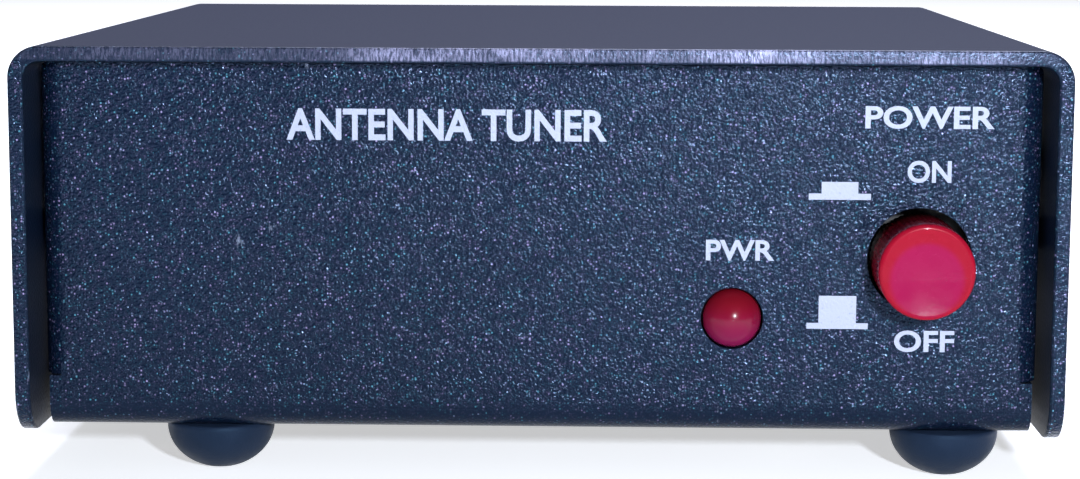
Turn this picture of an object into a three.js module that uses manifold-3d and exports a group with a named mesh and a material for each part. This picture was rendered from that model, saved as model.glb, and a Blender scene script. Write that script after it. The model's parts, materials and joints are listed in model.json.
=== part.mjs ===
// A small powered antenna matching unit: sheet-metal case, front power button and lamp, a circuit
// board with a changeover relay, and two coaxial sockets at the back. Millimetres, +Z up, front -Y.
import * as THREE from "three";
import { mergeVertices } from "three/addons/utils/BufferGeometryUtils.js";
import Module from "manifold-3d";

const wasm = await Module();
wasm.setup();
const { PI, sin, cos, asin } = Math;

// ---- Driving dimensions -------------------------------------------------------------------------

const CASE_W = 94.6; // over the cover's sides
const CASE_D = 90.4; // along the cover
const CASE_H = 35.3; // tray's underside to cover's top
const SHEET = 1.4; // thickness of tray and cover
const FOOT_H = 4.5;
const PANEL_INSET = 4.1; // panels stand this far inside the cover's ends
const SLIP = 0.05; // play between pieces that only touch

const TRAY_Z = FOOT_H;
const FLOOR_Z = TRAY_Z + SHEET;
const COVER_TOP = TRAY_Z + CASE_H;
const PANEL_Y = CASE_D / 2 - PANEL_INSET; // outer faces of the panels, front and rear
const MID_Z = TRAY_Z + CASE_H / 2;

const STANDOFF_H = 5.16;
const BOARD_T = 1.6;
const BOARD_Z = FLOOR_Z + STANDOFF_H; // underside
const BOARD_TOP = BOARD_Z + BOARD_T;

// The cap hangs a little below the centre of its hole, as far as the switch lies low on the board.
const BUTTON = { x: 34.5, z: TRAY_Z + 15.8, drop: 0.3, hole: 4.75, cap: 4.3, proud: 5.8 };
const LAMP = { x: 17.6, z: TRAY_Z + 10.6, hole: 2.83, lens: 2.68, proud: 2.0 };

// ---- Shape helpers ------------------------------------------------------------------------------

const AXIS = {
  x: new THREE.Vector3(1, 0, 0),
  y: new THREE.Vector3(0, 1, 0),
  z: new THREE.Vector3(0, 0, 1),
};

// A solid for joining and cutting, from any closed geometry, with its faces turned outwards.
function solid(geometry) {
  const loose = geometry.index ? geometry.toNonIndexed() : geometry.clone();
  loose.deleteAttribute("normal");
  loose.deleteAttribute("uv");
  const merged = mergeVertices(loose, 1e-4);
  const place = merged.attributes.position;
  const corner = [0, 1, 2].map(() => new THREE.Vector3());
  const faces = [];
  let volume = 0;
  for (let i = 0; i < merged.index.count; i += 3) {
    const [a, b, c] = [0, 1, 2].map((k) => merged.index.getX(i + k));
    if (a === b || b === c || c === a) continue;
    faces.push([a, b, c]);
    [a, b, c].forEach((vertex, k) => corner[k].fromBufferAttribute(place, vertex));
    volume += corner[0].dot(corner[1].clone().cross(corner[2]));
  }
  const triVerts = new Uint32Array(faces.flatMap(([a, b, c]) => (volume < 0 ? [a, c, b] : [a, b, c])));
  return new wasm.Manifold(new wasm.Mesh({ numProp: 3, vertProperties: place.array, triVerts }));
}

// A drawable geometry from a solid.
function drawn(made) {
  const mesh = made.getMesh();
  const indexed = new THREE.BufferGeometry();
  indexed.setAttribute("position", new THREE.BufferAttribute(mesh.vertProperties, 3));
  indexed.setIndex(new THREE.BufferAttribute(mesh.triVerts, 1));
  const geometry = indexed.toNonIndexed();
  geometry.computeVertexNormals();
  return geometry;
}

const join = (first, ...rest) => drawn(rest.reduce((sum, g) => sum.add(solid(g)), solid(first)));
const cut = (first, ...rest) => drawn(rest.reduce((left, g) => left.subtract(solid(g)), solid(first)));
const common = (first, second) => drawn(solid(first).intersect(solid(second)));
const at = (geometry, x, y, z) => geometry.translate(x, y, z);
const block = (w, d, h) => new THREE.BoxGeometry(w, d, h);

// A box from its low corner to its high corner.
function span(low, high) {
  const size = high.map((value, i) => value - low[i]);
  return at(block(...size), ...low.map((value, i) => value + size[i] / 2));
}

// A turned piece about an axis, from [radius, place] pairs that start and end on the axis.
function turned(profile, axis = "z", sides = 18) {
  const geometry = new THREE.LatheGeometry(profile.map(([r, place]) => new THREE.Vector2(r, place)), sides);
  if (axis === "z") geometry.rotateX(PI / 2);
  if (axis === "x") geometry.rotateZ(-PI / 2);
  return geometry;
}

// A turned ring: as a turned piece, but its profile closes on itself.
const ring = (profile, axis, sides) => turned([...profile, profile[0]], axis, sides);

function rod(radius, from, to, axis = "z", sides = 18) {
  return turned([[0, from], [radius, from], [radius, to], [0, to]], axis, sides);
}

function pipe(inner, outer, from, to, axis = "z", sides = 18) {
  return ring([[inner, from], [outer, from], [outer, to], [inner, to]], axis, sides);
}

// An outline drawn out along an axis, centred on zero. Across x it lies in YZ, across y in XZ.
function extruded(shape, length, axis = "z", curveSegments = 4) {
  const geometry = new THREE.ExtrudeGeometry(shape, { depth: length, bevelEnabled: false, curveSegments });
  geometry.translate(0, 0, -length / 2);
  const basis = new THREE.Matrix4();
  if (axis === "x") geometry.applyMatrix4(basis.makeBasis(AXIS.y, AXIS.z, AXIS.x));
  if (axis === "y") geometry.applyMatrix4(basis.makeBasis(AXIS.x, AXIS.z, AXIS.y.clone().negate()));
  return geometry;
}

// The section of a sheet folded up at both ends, with its bends' outer radius.
function folded(half, bottom, top, bend, thickness) {
  const shape = new THREE.Shape();
  const centre = bottom + bend;
  shape.moveTo(-half, top);
  shape.lineTo(-half, centre);
  shape.absarc(-half + bend, centre, bend, PI, 1.5 * PI, false);
  shape.lineTo(half - bend, bottom);
  shape.absarc(half - bend, centre, bend, 1.5 * PI, 2 * PI, false);
  shape.lineTo(half, top);
  shape.lineTo(half - thickness, top);
  shape.lineTo(half - thickness, centre);
  shape.absarc(half - bend, centre, bend - thickness, 0, -PI / 2, true);
  shape.lineTo(-half + bend, bottom + thickness);
  shape.absarc(-half + bend, centre, bend - thickness, -PI / 2, -PI, true);
  shape.closePath();
  return shape;
}

// A rectangle with round corners, centred on zero.
function rounded(width, height, radius) {
  const [u, v] = [width / 2 - radius, height / 2 - radius];
  const shape = new THREE.Shape();
  shape.moveTo(u, -v - radius);
  [[u, -v, -0.5], [u, v, 0], [-u, v, 0.5], [-u, -v, 1]].forEach(([cu, cv, turn]) => {
    shape.absarc(cu, cv, radius, turn * PI, (turn + 0.5) * PI, false);
  });
  shape.closePath();
  return shape;
}

// A round wire through a list of points.
function wire(points, radius, steps, sides = 6) {
  const curve = new THREE.CatmullRomCurve3(points.map((p) => new THREE.Vector3(...p)), false, "centripetal");
  return drawnWire(curve, radius, steps, sides);
}

function drawnWire(curve, radius, steps, sides) {
  const section = new THREE.Shape();
  for (let k = 0; k < sides; k++) {
    const angle = (2 * PI * k) / sides;
    const [u, v] = [radius * cos(angle), radius * sin(angle)];
    if (k === 0) section.moveTo(u, v);
    else section.lineTo(u, v);
  }
  section.closePath();
  return new THREE.ExtrudeGeometry(section, { steps, bevelEnabled: false, extrudePath: curve });
}

// A pan-head screw with a cross recess: its head above z = 0, its shank below.
function panScrew(headRadius, headHeight, shankRadius, shankLength) {
  const body = turned(
    [
      [0, -shankLength],
      [shankRadius, -shankLength],
      [shankRadius, 0],
      [headRadius, 0],
      [headRadius, headHeight * 0.5],
      [headRadius * 0.75, headHeight * 0.92],
      [0, headHeight],
    ],
    "z",
    12,
  );
  const slot = headRadius * 1.15;
  const recess = (w, d) => at(block(w, d, headHeight), 0, 0, headHeight);
  return cut(body, recess(slot, 0.7), recess(0.7, slot));
}

// ---- Materials and the group --------------------------------------------------------------------

function finish(color, roughness, metalness) {
  return new THREE.MeshStandardMaterial({ color, roughness, metalness });
}
const black_paint = finish(0x1c1f2a, 0.5, 0.1);
const black_rubber = finish(0x14161c, 0.8, 0);
const black_plastic = finish(0x17181a, 0.5, 0);
const red_plastic = finish(0xc01830, 0.3, 0);
const red_lens = finish(0xa00c18, 0.15, 0);
const white_plastic = finish(0xe8e4da, 0.45, 0);
const nickel = finish(0xb8b6ae, 0.3, 1);
const brass = finish(0xc8a050, 0.35, 1);
const steel = finish(0x8d9094, 0.35, 1);
const copper = finish(0xb5683a, 0.35, 1);
const green_board = finish(0x1f5a36, 0.45, 0);
const ferrite = finish(0x3a3836, 0.7, 0);
const blue_sleeve = finish(0x1c2c66, 0.4, 0);
const wire_red = finish(0xa01818, 0.5, 0);
const wire_black = finish(0x101010, 0.5, 0);

const tuner = new THREE.Group();

function add(name, geometry, material) {
  const mesh = new THREE.Mesh(geometry, material);
  mesh.name = name;
  tuner.add(mesh);
}

// ---- Places that several pieces share -----------------------------------------------------------

const COVER_SCREW = { y: CASE_D / 2 - 12.6, r: 1.5 };
const STANDOFFS = {
  front_left: [-37, -30],
  front_right: [23, -30], // clear of the power switch
  rear_left: [-37, 23],
  rear_right: [37, 23],
};
const SOCKETS = { radio: 26, antenna: -26 };
const RIVET_OFFSET = 9.1; // from a socket's axis, along x and z
const RIVETS = Object.values(SOCKETS).flatMap((x) => [[x - RIVET_OFFSET, MID_Z + RIVET_OFFSET],
  [x + RIVET_OFFSET, MID_Z - RIVET_OFFSET]]);
const JACK = { z: TRAY_Z + 11, neck: 4.0 };
const POST = { z: TRAY_Z + 24.4, r: 1.95 };
const RELAY = { x: 0, y: 9 };
const SHELL_BODY = 7.6; // radius of a coaxial socket behind the panel
const RIVET_R = 1.5;
const SPIGOT_R = 2; // a standoff's end, pressed into the tray

// ---- Case: tray, cover, their screws, feet ------------------------------------------------------

const TRAY_HALF = 45; // half the bottom's width
const FLANGE_HALF = 45.5; // over the panels' bent-back sides
const FLANGE_LENGTH = 12.8;
const TRAY_BEND = 2.2; // outer radius of the bottom's bends
const FLANGE_BEND = 2.1;
const COVER_BEND = 2.9;
const RELIEF_Z = TRAY_Z + 4.9; // the side flanges start above the bottom bend
const PANEL_TOP = COVER_TOP - SHEET - 0.3;

// One panel above the bottom bend, its top corners rounded to clear the cover's bends.
function trayPanel() {
  const section = folded(FLANGE_HALF, -PANEL_Y, -PANEL_Y + FLANGE_LENGTH, FLANGE_BEND, SHEET);
  const panel = at(extruded(section, PANEL_TOP - RELIEF_Z), 0, 0, (PANEL_TOP + RELIEF_Z) / 2);
  const [corner, height] = [0.8, PANEL_TOP]; // the blank reaches down to the ground, past the panel
  const blank = extruded(rounded(2 * FLANGE_HALF, height, corner), 2 * CASE_D, "y");
  return common(panel, at(blank, 0, 0, height / 2));
}

function tray() {
  const notch = 0.6; // the relief slot between the bottom's ends and the side flanges
  const bottom = extruded(folded(PANEL_Y, TRAY_Z, RELIEF_Z - notch, TRAY_BEND, SHEET), 2 * TRAY_HALF, "x");
  const flat = FLANGE_HALF - FLANGE_BEND - 0.5; // the panel's flat part, which carries on below the slot
  const tie = () => span([-flat, -PANEL_Y, RELIEF_Z - 2], [flat, -PANEL_Y + SHEET, RELIEF_Z + 1]);
  const body = join(bottom, trayPanel(), tie(), trayPanel().rotateZ(PI), tie().rotateZ(PI));
  const through = (r, x, z, y, sides) => at(rod(r, -3, 3, "y", sides), x, y, z);
  const holes = [
    through(BUTTON.hole, BUTTON.x, BUTTON.z + BUTTON.drop, -PANEL_Y, 28),
    through(LAMP.hole, LAMP.x, LAMP.z, -PANEL_Y),
  ];
  Object.values(SOCKETS).forEach((x) => holes.push(through(SHELL_BODY + 0.3, x, MID_Z, PANEL_Y, 24)));
  RIVETS.forEach(([x, z]) => holes.push(through(RIVET_R + 0.1, x, z, PANEL_Y, 10)));
  holes.push(through(JACK.neck + 0.1, 0, JACK.z, PANEL_Y), through(POST.r + 0.15, 0, POST.z, PANEL_Y, 16));
  Object.values(STANDOFFS).forEach(([x, y]) => {
    holes.push(at(rod(SPIGOT_R + SLIP, -2, 2, "z", 12), x, y, FLOOR_Z));
  });
  [-1, 1].forEach((side) => [-1, 1].forEach((end) => {
    const tapped = rod(COVER_SCREW.r + 0.1, -2, 2, "x", 10);
    holes.push(at(tapped, side * (FLANGE_HALF - SHEET / 2), end * COVER_SCREW.y, MID_Z));
  }));
  return cut(body, ...holes);
}
add("chassis_tray", tray(), black_paint);

function cover() {
  const skirt = TRAY_Z - 0.1; // the sides end level with the tray, give or take the paint
  const section = folded(CASE_W / 2, -COVER_TOP, -skirt, COVER_BEND, SHEET);
  const sheet = extruded(section, CASE_D + 4, "y").rotateY(PI);
  const corner = 4;
  const [edge, top] = [CASE_D / 2, COVER_TOP + 1];
  const side = new THREE.Shape();
  side.moveTo(-edge, top);
  side.lineTo(-edge, skirt + corner);
  side.absarc(-edge + corner, skirt + corner, corner, PI, 1.5 * PI, false);
  side.absarc(edge - corner, skirt + corner, corner, 1.5 * PI, 2 * PI, false);
  side.lineTo(edge, top);
  side.closePath();
  const trimmed = common(sheet, extruded(side, CASE_W + 4, "x"));
  const holes = [-1, 1].map((end) => {
    const hole = rod(COVER_SCREW.r + 0.25, -CASE_W / 2 - 1, CASE_W / 2 + 1, "x", 12);
    return at(hole, 0, end * COVER_SCREW.y, MID_Z);
  });
  return cut(trimmed, ...holes);
}
add("top_cover", cover(), black_paint);

for (const [side, left] of [["left", true], ["right", false]]) {
  for (const [end, y] of [["front", -COVER_SCREW.y], ["rear", COVER_SCREW.y]]) {
    const screw = panScrew(2.9, 1.8, COVER_SCREW.r, 5.6).rotateY(left ? -PI / 2 : PI / 2);
    const x = (left ? -1 : 1) * (CASE_W / 2);
    add(`cover_screw_${end}_${side}`, at(screw, x, y, MID_Z), nickel);
  }
}

// Stick-on rubber domes, set by hand, so no two sit in quite the same place.
const FEET = {
  front_left: [-30, -CASE_D / 2 + 9.4],
  front_right: [37.7, -CASE_D / 2 + 9],
  rear_left: [-36, CASE_D / 2 - 9.6],
  rear_right: [34.5, CASE_D / 2 - 9.2],
};

function foot() {
  const [radius, tread, rim] = [5, 1.6, 0.5];
  const start = asin(tread / radius);
  const profile = [[0, 0]];
  const steps = 6;
  for (let k = 0; k <= steps; k++) {
    const angle = start + ((PI / 2 - start) * k) / steps;
    profile.push([radius * sin(angle), (FOOT_H - rim) * (1 - cos(angle) / cos(start))]);
  }
  return turned([...profile, [radius, FOOT_H], [0, FOOT_H]], "z", 20);
}
for (const [name, [x, y]] of Object.entries(FEET)) add(`foot_${name}`, at(foot(), x, y, 0), black_rubber);

// ---- Power switch: push-push, its plunger carrying the round cap --------------------------------

const SWITCH = {
  w: 10.6, // outside the housing
  front: -33,
  back: -17,
  top: TRAY_Z + 21.7,
  wall: 1.2,
  floor: 1.2, // terminal base along the bottom
  shaft: 4.6,
};
const SLIDER = { front: SWITCH.front + SWITCH.wall + 0.2, length: 7, w: 7.4, h: 7 };
const SLIDER_TOP = BUTTON.z + SLIDER.h / 2;
const CAP_BACK = -PANEL_Y - BUTTON.proud + 8.6;

function switchHousing() {
  const low = BOARD_TOP + SLIP;
  const half = SWITCH.w / 2;
  const shell = span([-half, SWITCH.front, low], [half, SWITCH.back, SWITCH.top]);
  const inside = span(
    [-half + SWITCH.wall, SWITCH.front + SWITCH.wall, low - 1],
    [half - SWITCH.wall, SWITCH.back + 1, SWITCH.top - SWITCH.wall],
  );
  const gate = SWITCH.shaft / 2 + 0.25;
  const mouth = span([-gate, SWITCH.front - 1, BUTTON.z - gate], [gate, SWITCH.front + 2, BUTTON.z + gate]);
  return at(cut(shell, inside, mouth), BUTTON.x, 0, 0);
}
add("switch_housing", switchHousing(), black_plastic);

const PIN_ROWS = [-29, -25, -21]; // terminals along y
const PIN_X = 2.5;

// The insulating base closes the housing's bottom and back, and holds six terminals.
function switchTerminalBase() {
  const half = SWITCH.w / 2 - SWITCH.wall - 0.1;
  const low = BOARD_TOP + SLIP;
  const rear = SWITCH.back - 1.4;
  const top = SWITCH.top - SWITCH.wall - 0.1;
  const sole = span([-half, SWITCH.front + SWITCH.wall + 0.1, low], [half, SWITCH.back, low + SWITCH.floor]);
  const back = span([-half, rear, low], [half, SWITCH.back, top]);
  const ledge = span([-1.2, rear - 2.2, SLIDER_TOP - 1], [1.2, rear + 0.1, SLIDER_TOP]);
  const pins = PIN_ROWS.flatMap((y) => [-PIN_X, PIN_X].map((x) => (
    span([x - 0.4, y - 0.2, BOARD_Z - 1.8], [x + 0.4, y + 0.2, low + SWITCH.floor + 0.6]))));
  const pivot = at(rod(0.5, -3, 1, "z", 10), 0, rear - 1, SLIDER_TOP);
  return at(cut(join(sole, back, ledge, ...pins), pivot), BUTTON.x, 0, 0);
}
add("switch_terminal_base", switchTerminalBase(), brass);

// The slider runs in the housing; its square shaft passes the housing's mouth and holds the cap.
function switchPlunger() {
  const [w, h] = [SLIDER.w / 2, SLIDER.h / 2];
  const back = SLIDER.front + SLIDER.length;
  const shaft = SWITCH.shaft / 2;
  const capEnd = -PANEL_Y - BUTTON.proud + 2.4;
  const body = join(
    span([-w, SLIDER.front, -h], [w, back, h]),
    span([-shaft, capEnd, -shaft], [shaft, SLIDER.front + 1, shaft]),
    rod(1.3, back - 1, back + 1.6, "y", 12),
  );
  // The latch pin's track, round a heart-shaped island that holds the plunger when it is pushed in.
  const track = span([-1.7, SLIDER.front + 0.8, h - 1.2], [1.7, back - 1.6, h + 1]);
  const heart = new THREE.Shape();
  heart.moveTo(-0.35, back - 3.1);
  heart.lineTo(-0.9, back - 4.7);
  heart.lineTo(-0.25, back - 4.3);
  heart.lineTo(0.1, back - 4.7);
  heart.closePath();
  const island = at(extruded(heart, 1.4), 0, 0, h - 0.7);
  return at(join(cut(body, track), island), BUTTON.x, 0, BUTTON.z);
}
add("switch_plunger", switchPlunger(), white_plastic);

function buttonCap() {
  const front = -PANEL_Y - BUTTON.proud;
  const r = BUTTON.cap;
  const skirt = 0.45;
  const profile = [
    [0, front + 0.35],
    [r * 0.45, front + 0.28],
    [r - 0.75, front + 0.05],
    [r - 0.45, front],
    [r - 0.12, front + 0.15],
    [r, front + skirt],
    [r, CAP_BACK],
    [0, CAP_BACK],
  ];
  const socket = SWITCH.shaft / 2 + 0.05;
  const bore = span([-socket, front + 2.2, -socket], [socket, CAP_BACK + 1, socket]);
  return at(cut(turned(profile, "y", 28), bore), BUTTON.x, 0, BUTTON.z);
}
add("power_button_cap", buttonCap(), red_plastic);

// A sprung brass strip under the slider that bridges the terminals.
function contactBridge() {
  const top = BUTTON.z - SLIDER.h / 2 - SLIP;
  const middle = SLIDER.front + SLIDER.length / 2;
  const strip = span([-3, middle - 2.6, top - 0.4], [3, middle + 2.6, top]);
  const bumps = [-PIN_X, PIN_X].map((x) => at(rod(0.6, -0.7, 0, "z", 10), x, middle, top - 0.2));
  return at(join(strip, ...bumps), BUTTON.x, 0, 0);
}
add("switch_contact_bridge", contactBridge(), brass);

function returnSpring() {
  const [front, back] = [SLIDER.front + SLIDER.length + 0.3, SWITCH.back - 1.4 - 0.3];
  const [coil, gauge, turns] = [1.8, 0.22, 4.5];
  class Coil extends THREE.Curve {
    getPoint(t, target = new THREE.Vector3()) {
      const angle = 2 * PI * turns * t;
      const y = THREE.MathUtils.lerp(front + gauge, back - gauge, t);
      return target.set(coil * cos(angle), y, coil * sin(angle));
    }
  }
  return at(drawnWire(new Coil(), gauge, 40, 5), BUTTON.x, 0, BUTTON.z);
}
add("switch_return_spring", returnSpring(), steel);

// A bent wire: one end turns in the base's ledge, the other follows the slider's track.
const LATCH_Y = SWITCH.back - 2.4;
function latchPin() {
  const [r, tip] = [0.28, SLIDER.front + SLIDER.length - 2.4];
  const z = SLIDER_TOP + 0.4;
  const stem = at(rod(r, tip, LATCH_Y, "y", 8), 0, 0, z);
  const legs = [tip, LATCH_Y].map((y) => at(rod(r, -1.1, r, "z", 8), 0, y, z));
  return at(join(stem, ...legs), BUTTON.x, 0, 0);
}
add("switch_latch_pin", latchPin(), steel);

// ---- Lamp: a 5 mm light-emitting diode, held by its leads behind its hole -----------------------

const LENS_BACK = -PANEL_Y - LAMP.proud + 8.6;
function lens() {
  const tip = -PANEL_Y - LAMP.proud;
  const profile = [];
  const steps = 5;
  for (let k = 0; k <= steps; k++) {
    const angle = ((PI / 2) * k) / steps;
    profile.push([LAMP.lens * sin(angle), tip + LAMP.lens * (1 - cos(angle))]);
  }
  const rim = LAMP.lens + 0.3;
  profile.push([LAMP.lens, LENS_BACK - 1], [rim, LENS_BACK - 1], [rim, LENS_BACK], [0, LENS_BACK]);
  return at(turned(profile, "y", 20), LAMP.x, 0, LAMP.z);
}
add("lamp_lens", lens(), red_lens);

const LAMP_LEADS = { anode: LAMP.x + 1.27, cathode: LAMP.x - 1.27 };
const LEAD_Y = -32.4;
for (const [name, x] of Object.entries(LAMP_LEADS)) {
  const level = span([x - 0.25, LENS_BACK + SLIP, LAMP.z - 0.25], [x + 0.25, LEAD_Y + 0.25, LAMP.z + 0.25]);
  const drop = span([x - 0.25, LEAD_Y - 0.25, BOARD_Z - 1.4], [x + 0.25, LEAD_Y + 0.25, LAMP.z + 0.25]);
  add(`lamp_${name}_lead`, join(level, drop), nickel);
}

// ---- Coaxial sockets: screw shells riveted to the rear panel -------------------------------------

const FLANGE_T = 1.6;
const BARREL_END = PANEL_Y + FLANGE_T + 12.6;
const BARREL_R = 7.9;
const BARREL_BORE = 6;
const BODY_BACK = PANEL_Y - 3.6;

function socketShell(x) {
  const barrel = ring(
    [
      [BARREL_BORE, BODY_BACK],
      [SHELL_BODY, BODY_BACK],
      [SHELL_BODY, PANEL_Y + 1],
      [BARREL_R - 0.4, PANEL_Y + FLANGE_T],
      [BARREL_R - 0.4, PANEL_Y + FLANGE_T + 1],
      [BARREL_R, PANEL_Y + FLANGE_T + 1.4],
      [BARREL_R, BARREL_END - 0.6],
      [BARREL_R - 0.6, BARREL_END],
      [BARREL_BORE, BARREL_END],
    ],
    "y",
    24,
  );
  const square = at(extruded(rounded(25.4, 25.4, 1.5), FLANGE_T, "y", 3), 0, PANEL_Y + FLANGE_T / 2, 0);
  const holes = [-1, 1].flatMap((i) => [-1, 1].map((k) => (
    at(rod(RIVET_R + 0.1, -1, 3, "y", 10), i * RIVET_OFFSET, PANEL_Y, k * RIVET_OFFSET))));
  const notches = [0, 1, 2, 3].map((k) => (
    at(block(1.3, 1.4, 2.6), 0, BARREL_END, BARREL_R - 1).rotateY((k + 0.5) * (PI / 2))));
  const flange = cut(square, rod(BARREL_BORE + 0.5, PANEL_Y - 1, PANEL_Y + 4, "y", 24), ...holes);
  return at(cut(join(flange, barrel), ...notches), x, 0, MID_Z);
}

const INSULATOR_END = BARREL_END - 1.5;
const CONTACT_R = 2.75;
function socketInsulator(x) {
  const r = BARREL_BORE - SLIP;
  return at(pipe(CONTACT_R + SLIP, r, BODY_BACK, INSULATOR_END, "y", 20), x, 0, MID_Z);
}

const CUP_BACK = BODY_BACK - 6;
function socketContact(x) {
  const [bore, front, cupR, cupBore] = [2.05, INSULATOR_END + 0.2, 1.7, 1.15];
  const body = turned(
    [
      [0, front - 12],
      [bore, front - 11.4],
      [bore, front],
      [CONTACT_R, front],
      [CONTACT_R, BODY_BACK],
      [cupR, BODY_BACK],
      [cupR, CUP_BACK],
      [cupBore, CUP_BACK],
      [cupBore, CUP_BACK + 4],
      [0, CUP_BACK + 4],
    ],
    "y",
    14,
  );
  const slits = [[0.5, 7], [7, 0.5]].map(([w, h]) => at(block(w, 9, h), 0, front - 3.5, 0));
  return at(cut(body, ...slits), x, 0, MID_Z);
}

for (const [name, x] of Object.entries(SOCKETS)) {
  add(`${name}_socket_shell`, socketShell(x), nickel);
  add(`${name}_socket_insulator`, socketInsulator(x), white_plastic);
  add(`${name}_socket_contact`, socketContact(x), brass);
}

function rivet() {
  const [outside, inside] = [PANEL_Y + FLANGE_T + SLIP, PANEL_Y - SHEET - SLIP];
  const profile = [
    [0.8, inside - 1.4],
    [1.7, inside - 1.2],
    [2.1, inside],
    [RIVET_R, inside],
    [RIVET_R, outside],
    [2.5, outside],
    [2.1, outside + 0.6],
    [0.8, outside + 0.9],
  ];
  return ring(profile, "y", 10);
}
RIVETS.forEach(([x, z], k) => {
  const owner = k < 2 ? "radio" : "antenna";
  add(`${owner}_socket_rivet_${k % 2 ? "low" : "high"}`, at(rivet(), x, 0, z), steel);
});

// ---- Power jack: plastic body held by a hexagon nut ---------------------------------------------

const JACK_BACK = PANEL_Y - SHEET - 10;
const JACK_FRONT = PANEL_Y + 3.8;
function jackBody() {
  const mouth = 2.85;
  const shoulder = PANEL_Y - SHEET - SLIP;
  const profile = [
    [1.15, JACK_BACK],
    [5.3, JACK_BACK],
    [5.3, shoulder],
    [JACK.neck, shoulder],
    [JACK.neck, JACK_FRONT - 0.3],
    [JACK.neck - 0.3, JACK_FRONT],
    [mouth, JACK_FRONT],
    [mouth, JACK_FRONT - 9.5],
    [1.15, JACK_FRONT - 9.5],
  ];
  const tag = span([-1.1, JACK_BACK - 3, 3.7], [1.1, JACK_BACK + 1, 4.2]);
  return at(join(ring(profile, "y", 20), tag), 0, 0, JACK.z);
}
add("power_jack_body", jackBody(), black_plastic);

const JACK_PIN_BACK = JACK_BACK - 2.6;
function jackPin() {
  const front = JACK_FRONT - 0.8;
  const profile = [[0, JACK_PIN_BACK], [1.05, JACK_PIN_BACK], [1.05, front - 0.6], [0.6, front], [0, front]];
  return at(turned(profile, "y", 10), 0, 0, JACK.z);
}
add("power_jack_pin", jackPin(), nickel);

// A hexagon nut on a thread along y, from its near face.
function nut(acrossFlats, bore, near, thickness) {
  const corners = acrossFlats / 2 / cos(PI / 6);
  const hexagon = rod(corners, near, near + thickness, "y", 6);
  const sides = 16;
  return cut(hexagon, rod(bore / cos(PI / sides), near - 1, near + thickness + 1, "y", sides));
}
add("power_jack_nut", at(nut(10, JACK.neck + SLIP, PANEL_Y + SLIP, 2.2), 0, 0, JACK.z), nickel);

// ---- Ground post: a screw from inside, a nut, and a wing nut for the wire ------------------------

const POST_END = PANEL_Y + 13.8;
function postScrew() {
  const inner = PANEL_Y - SHEET - SLIP;
  const { r } = POST;
  const profile = [[0, inner - 2.4], [2.9, inner - 2.4], [3.6, inner - 1.6], [3.6, inner], [r, inner],
    [r, POST_END - 0.5], [r - 0.5, POST_END], [0, POST_END]];
  return at(turned(profile, "y", 14), 0, 0, POST.z);
}
add("ground_post_screw", postScrew(), brass);
add("ground_post_nut", at(nut(7, POST.r + 0.06, PANEL_Y + SLIP, 3), 0, 0, POST.z), nickel);

const WING_NEAR = PANEL_Y + 5.2; // backed off, so that a wire's ring slips in under it
function wingNut() {
  const hub = turned([[0, 0], [4, 0], [4, 1], [3.1, 5], [0, 5]], "y", 16);
  const wing = new THREE.Shape();
  wing.moveTo(1.9, 0.5);
  wing.lineTo(4.4, 0.9);
  wing.lineTo(8.1, 4.6);
  wing.absarc(7.1, 6.2, 1.85, -PI / 3, 0.8 * PI, false);
  wing.lineTo(3.2, 4.4);
  wing.closePath();
  const wings = [0, PI].map((angle) => extruded(wing, 1.5).rotateY(angle));
  const body = cut(join(hub, ...wings), rod(POST.r + 0.06, -1, 9, "y", 16));
  return at(body, 0, WING_NEAR, POST.z);
}
add("ground_wing_nut", wingNut(), nickel);

// ---- Relay: a changeover relay that switches the matching circuit into line ----------------------

const RELAY_W = 20;
const RELAY_D = 16;
const RELAY_H = 15.4;
const RELAY_Z = BOARD_TOP + 0.1;
const HINGE = { x: -7.9, z: 11 }; // the armature's edge on the yoke, from the relay's foot
const RELAY_PINS = [[-7.5, 5], [-7.5, -5], [7.5, 5], [7.5, -5], [7.5, 0]];

function relayBase() {
  const [u, v] = [RELAY_W / 2 - 0.8, RELAY_D / 2 - 0.8]; // inside the dust cover
  const plate = span([-u, -v, 0], [u, v, 1.6]);
  const pins = RELAY_PINS.map(([x, y]) => span([x - 0.4, y - 0.25, -3.6], [x + 0.4, y + 0.25, 0.5]));
  return join(plate, ...pins);
}

function relayCoil() {
  const [bore, wound, cheek] = [2.15, 4.9, 5.5];
  const [low, high, thickness] = [2.6, 10.3, 0.8];
  const profile = [
    [bore, low],
    [cheek, low],
    [cheek, low + thickness],
    [wound, low + thickness + 0.1],
    [wound, high - thickness - 0.1],
    [cheek, high - thickness],
    [cheek, high],
    [bore, high],
  ];
  return ring(profile, "z", 18);
}

// The core is riveted into the yoke: one magnetic path from coil to armature.
function relayYoke() {
  return join(
    span([-8.4, -4, 1.65], [2.5, 4, 2.5]),
    span([-8.4, -4, 1.65], [-7.4, 4, HINGE.z - 0.1]),
    rod(2.05, 2, 10.9, "z", 12),
  );
}

function relayArmature() {
  const open = (5 * PI) / 180;
  const plate = join(
    span([0, -4, 0.05], [14.2, 4, 0.95]),
    span([8, -1.6, 0.9], [16.2, 1.6, 1.25]),
    at(rod(0.9, 0, 1, "z", 10), 15, 0, 0.2),
  );
  return at(plate.rotateY(-open), HINGE.x, 0, HINGE.z);
}

function relayCover() {
  const wall = 0.7;
  const outer = span([-RELAY_W / 2, -RELAY_D / 2, 0], [RELAY_W / 2, RELAY_D / 2, RELAY_H]);
  const inner = span(
    [-RELAY_W / 2 + wall, -RELAY_D / 2 + wall, -1],
    [RELAY_W / 2 - wall, RELAY_D / 2 - wall, RELAY_H - wall],
  );
  return cut(outer, inner);
}

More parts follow.
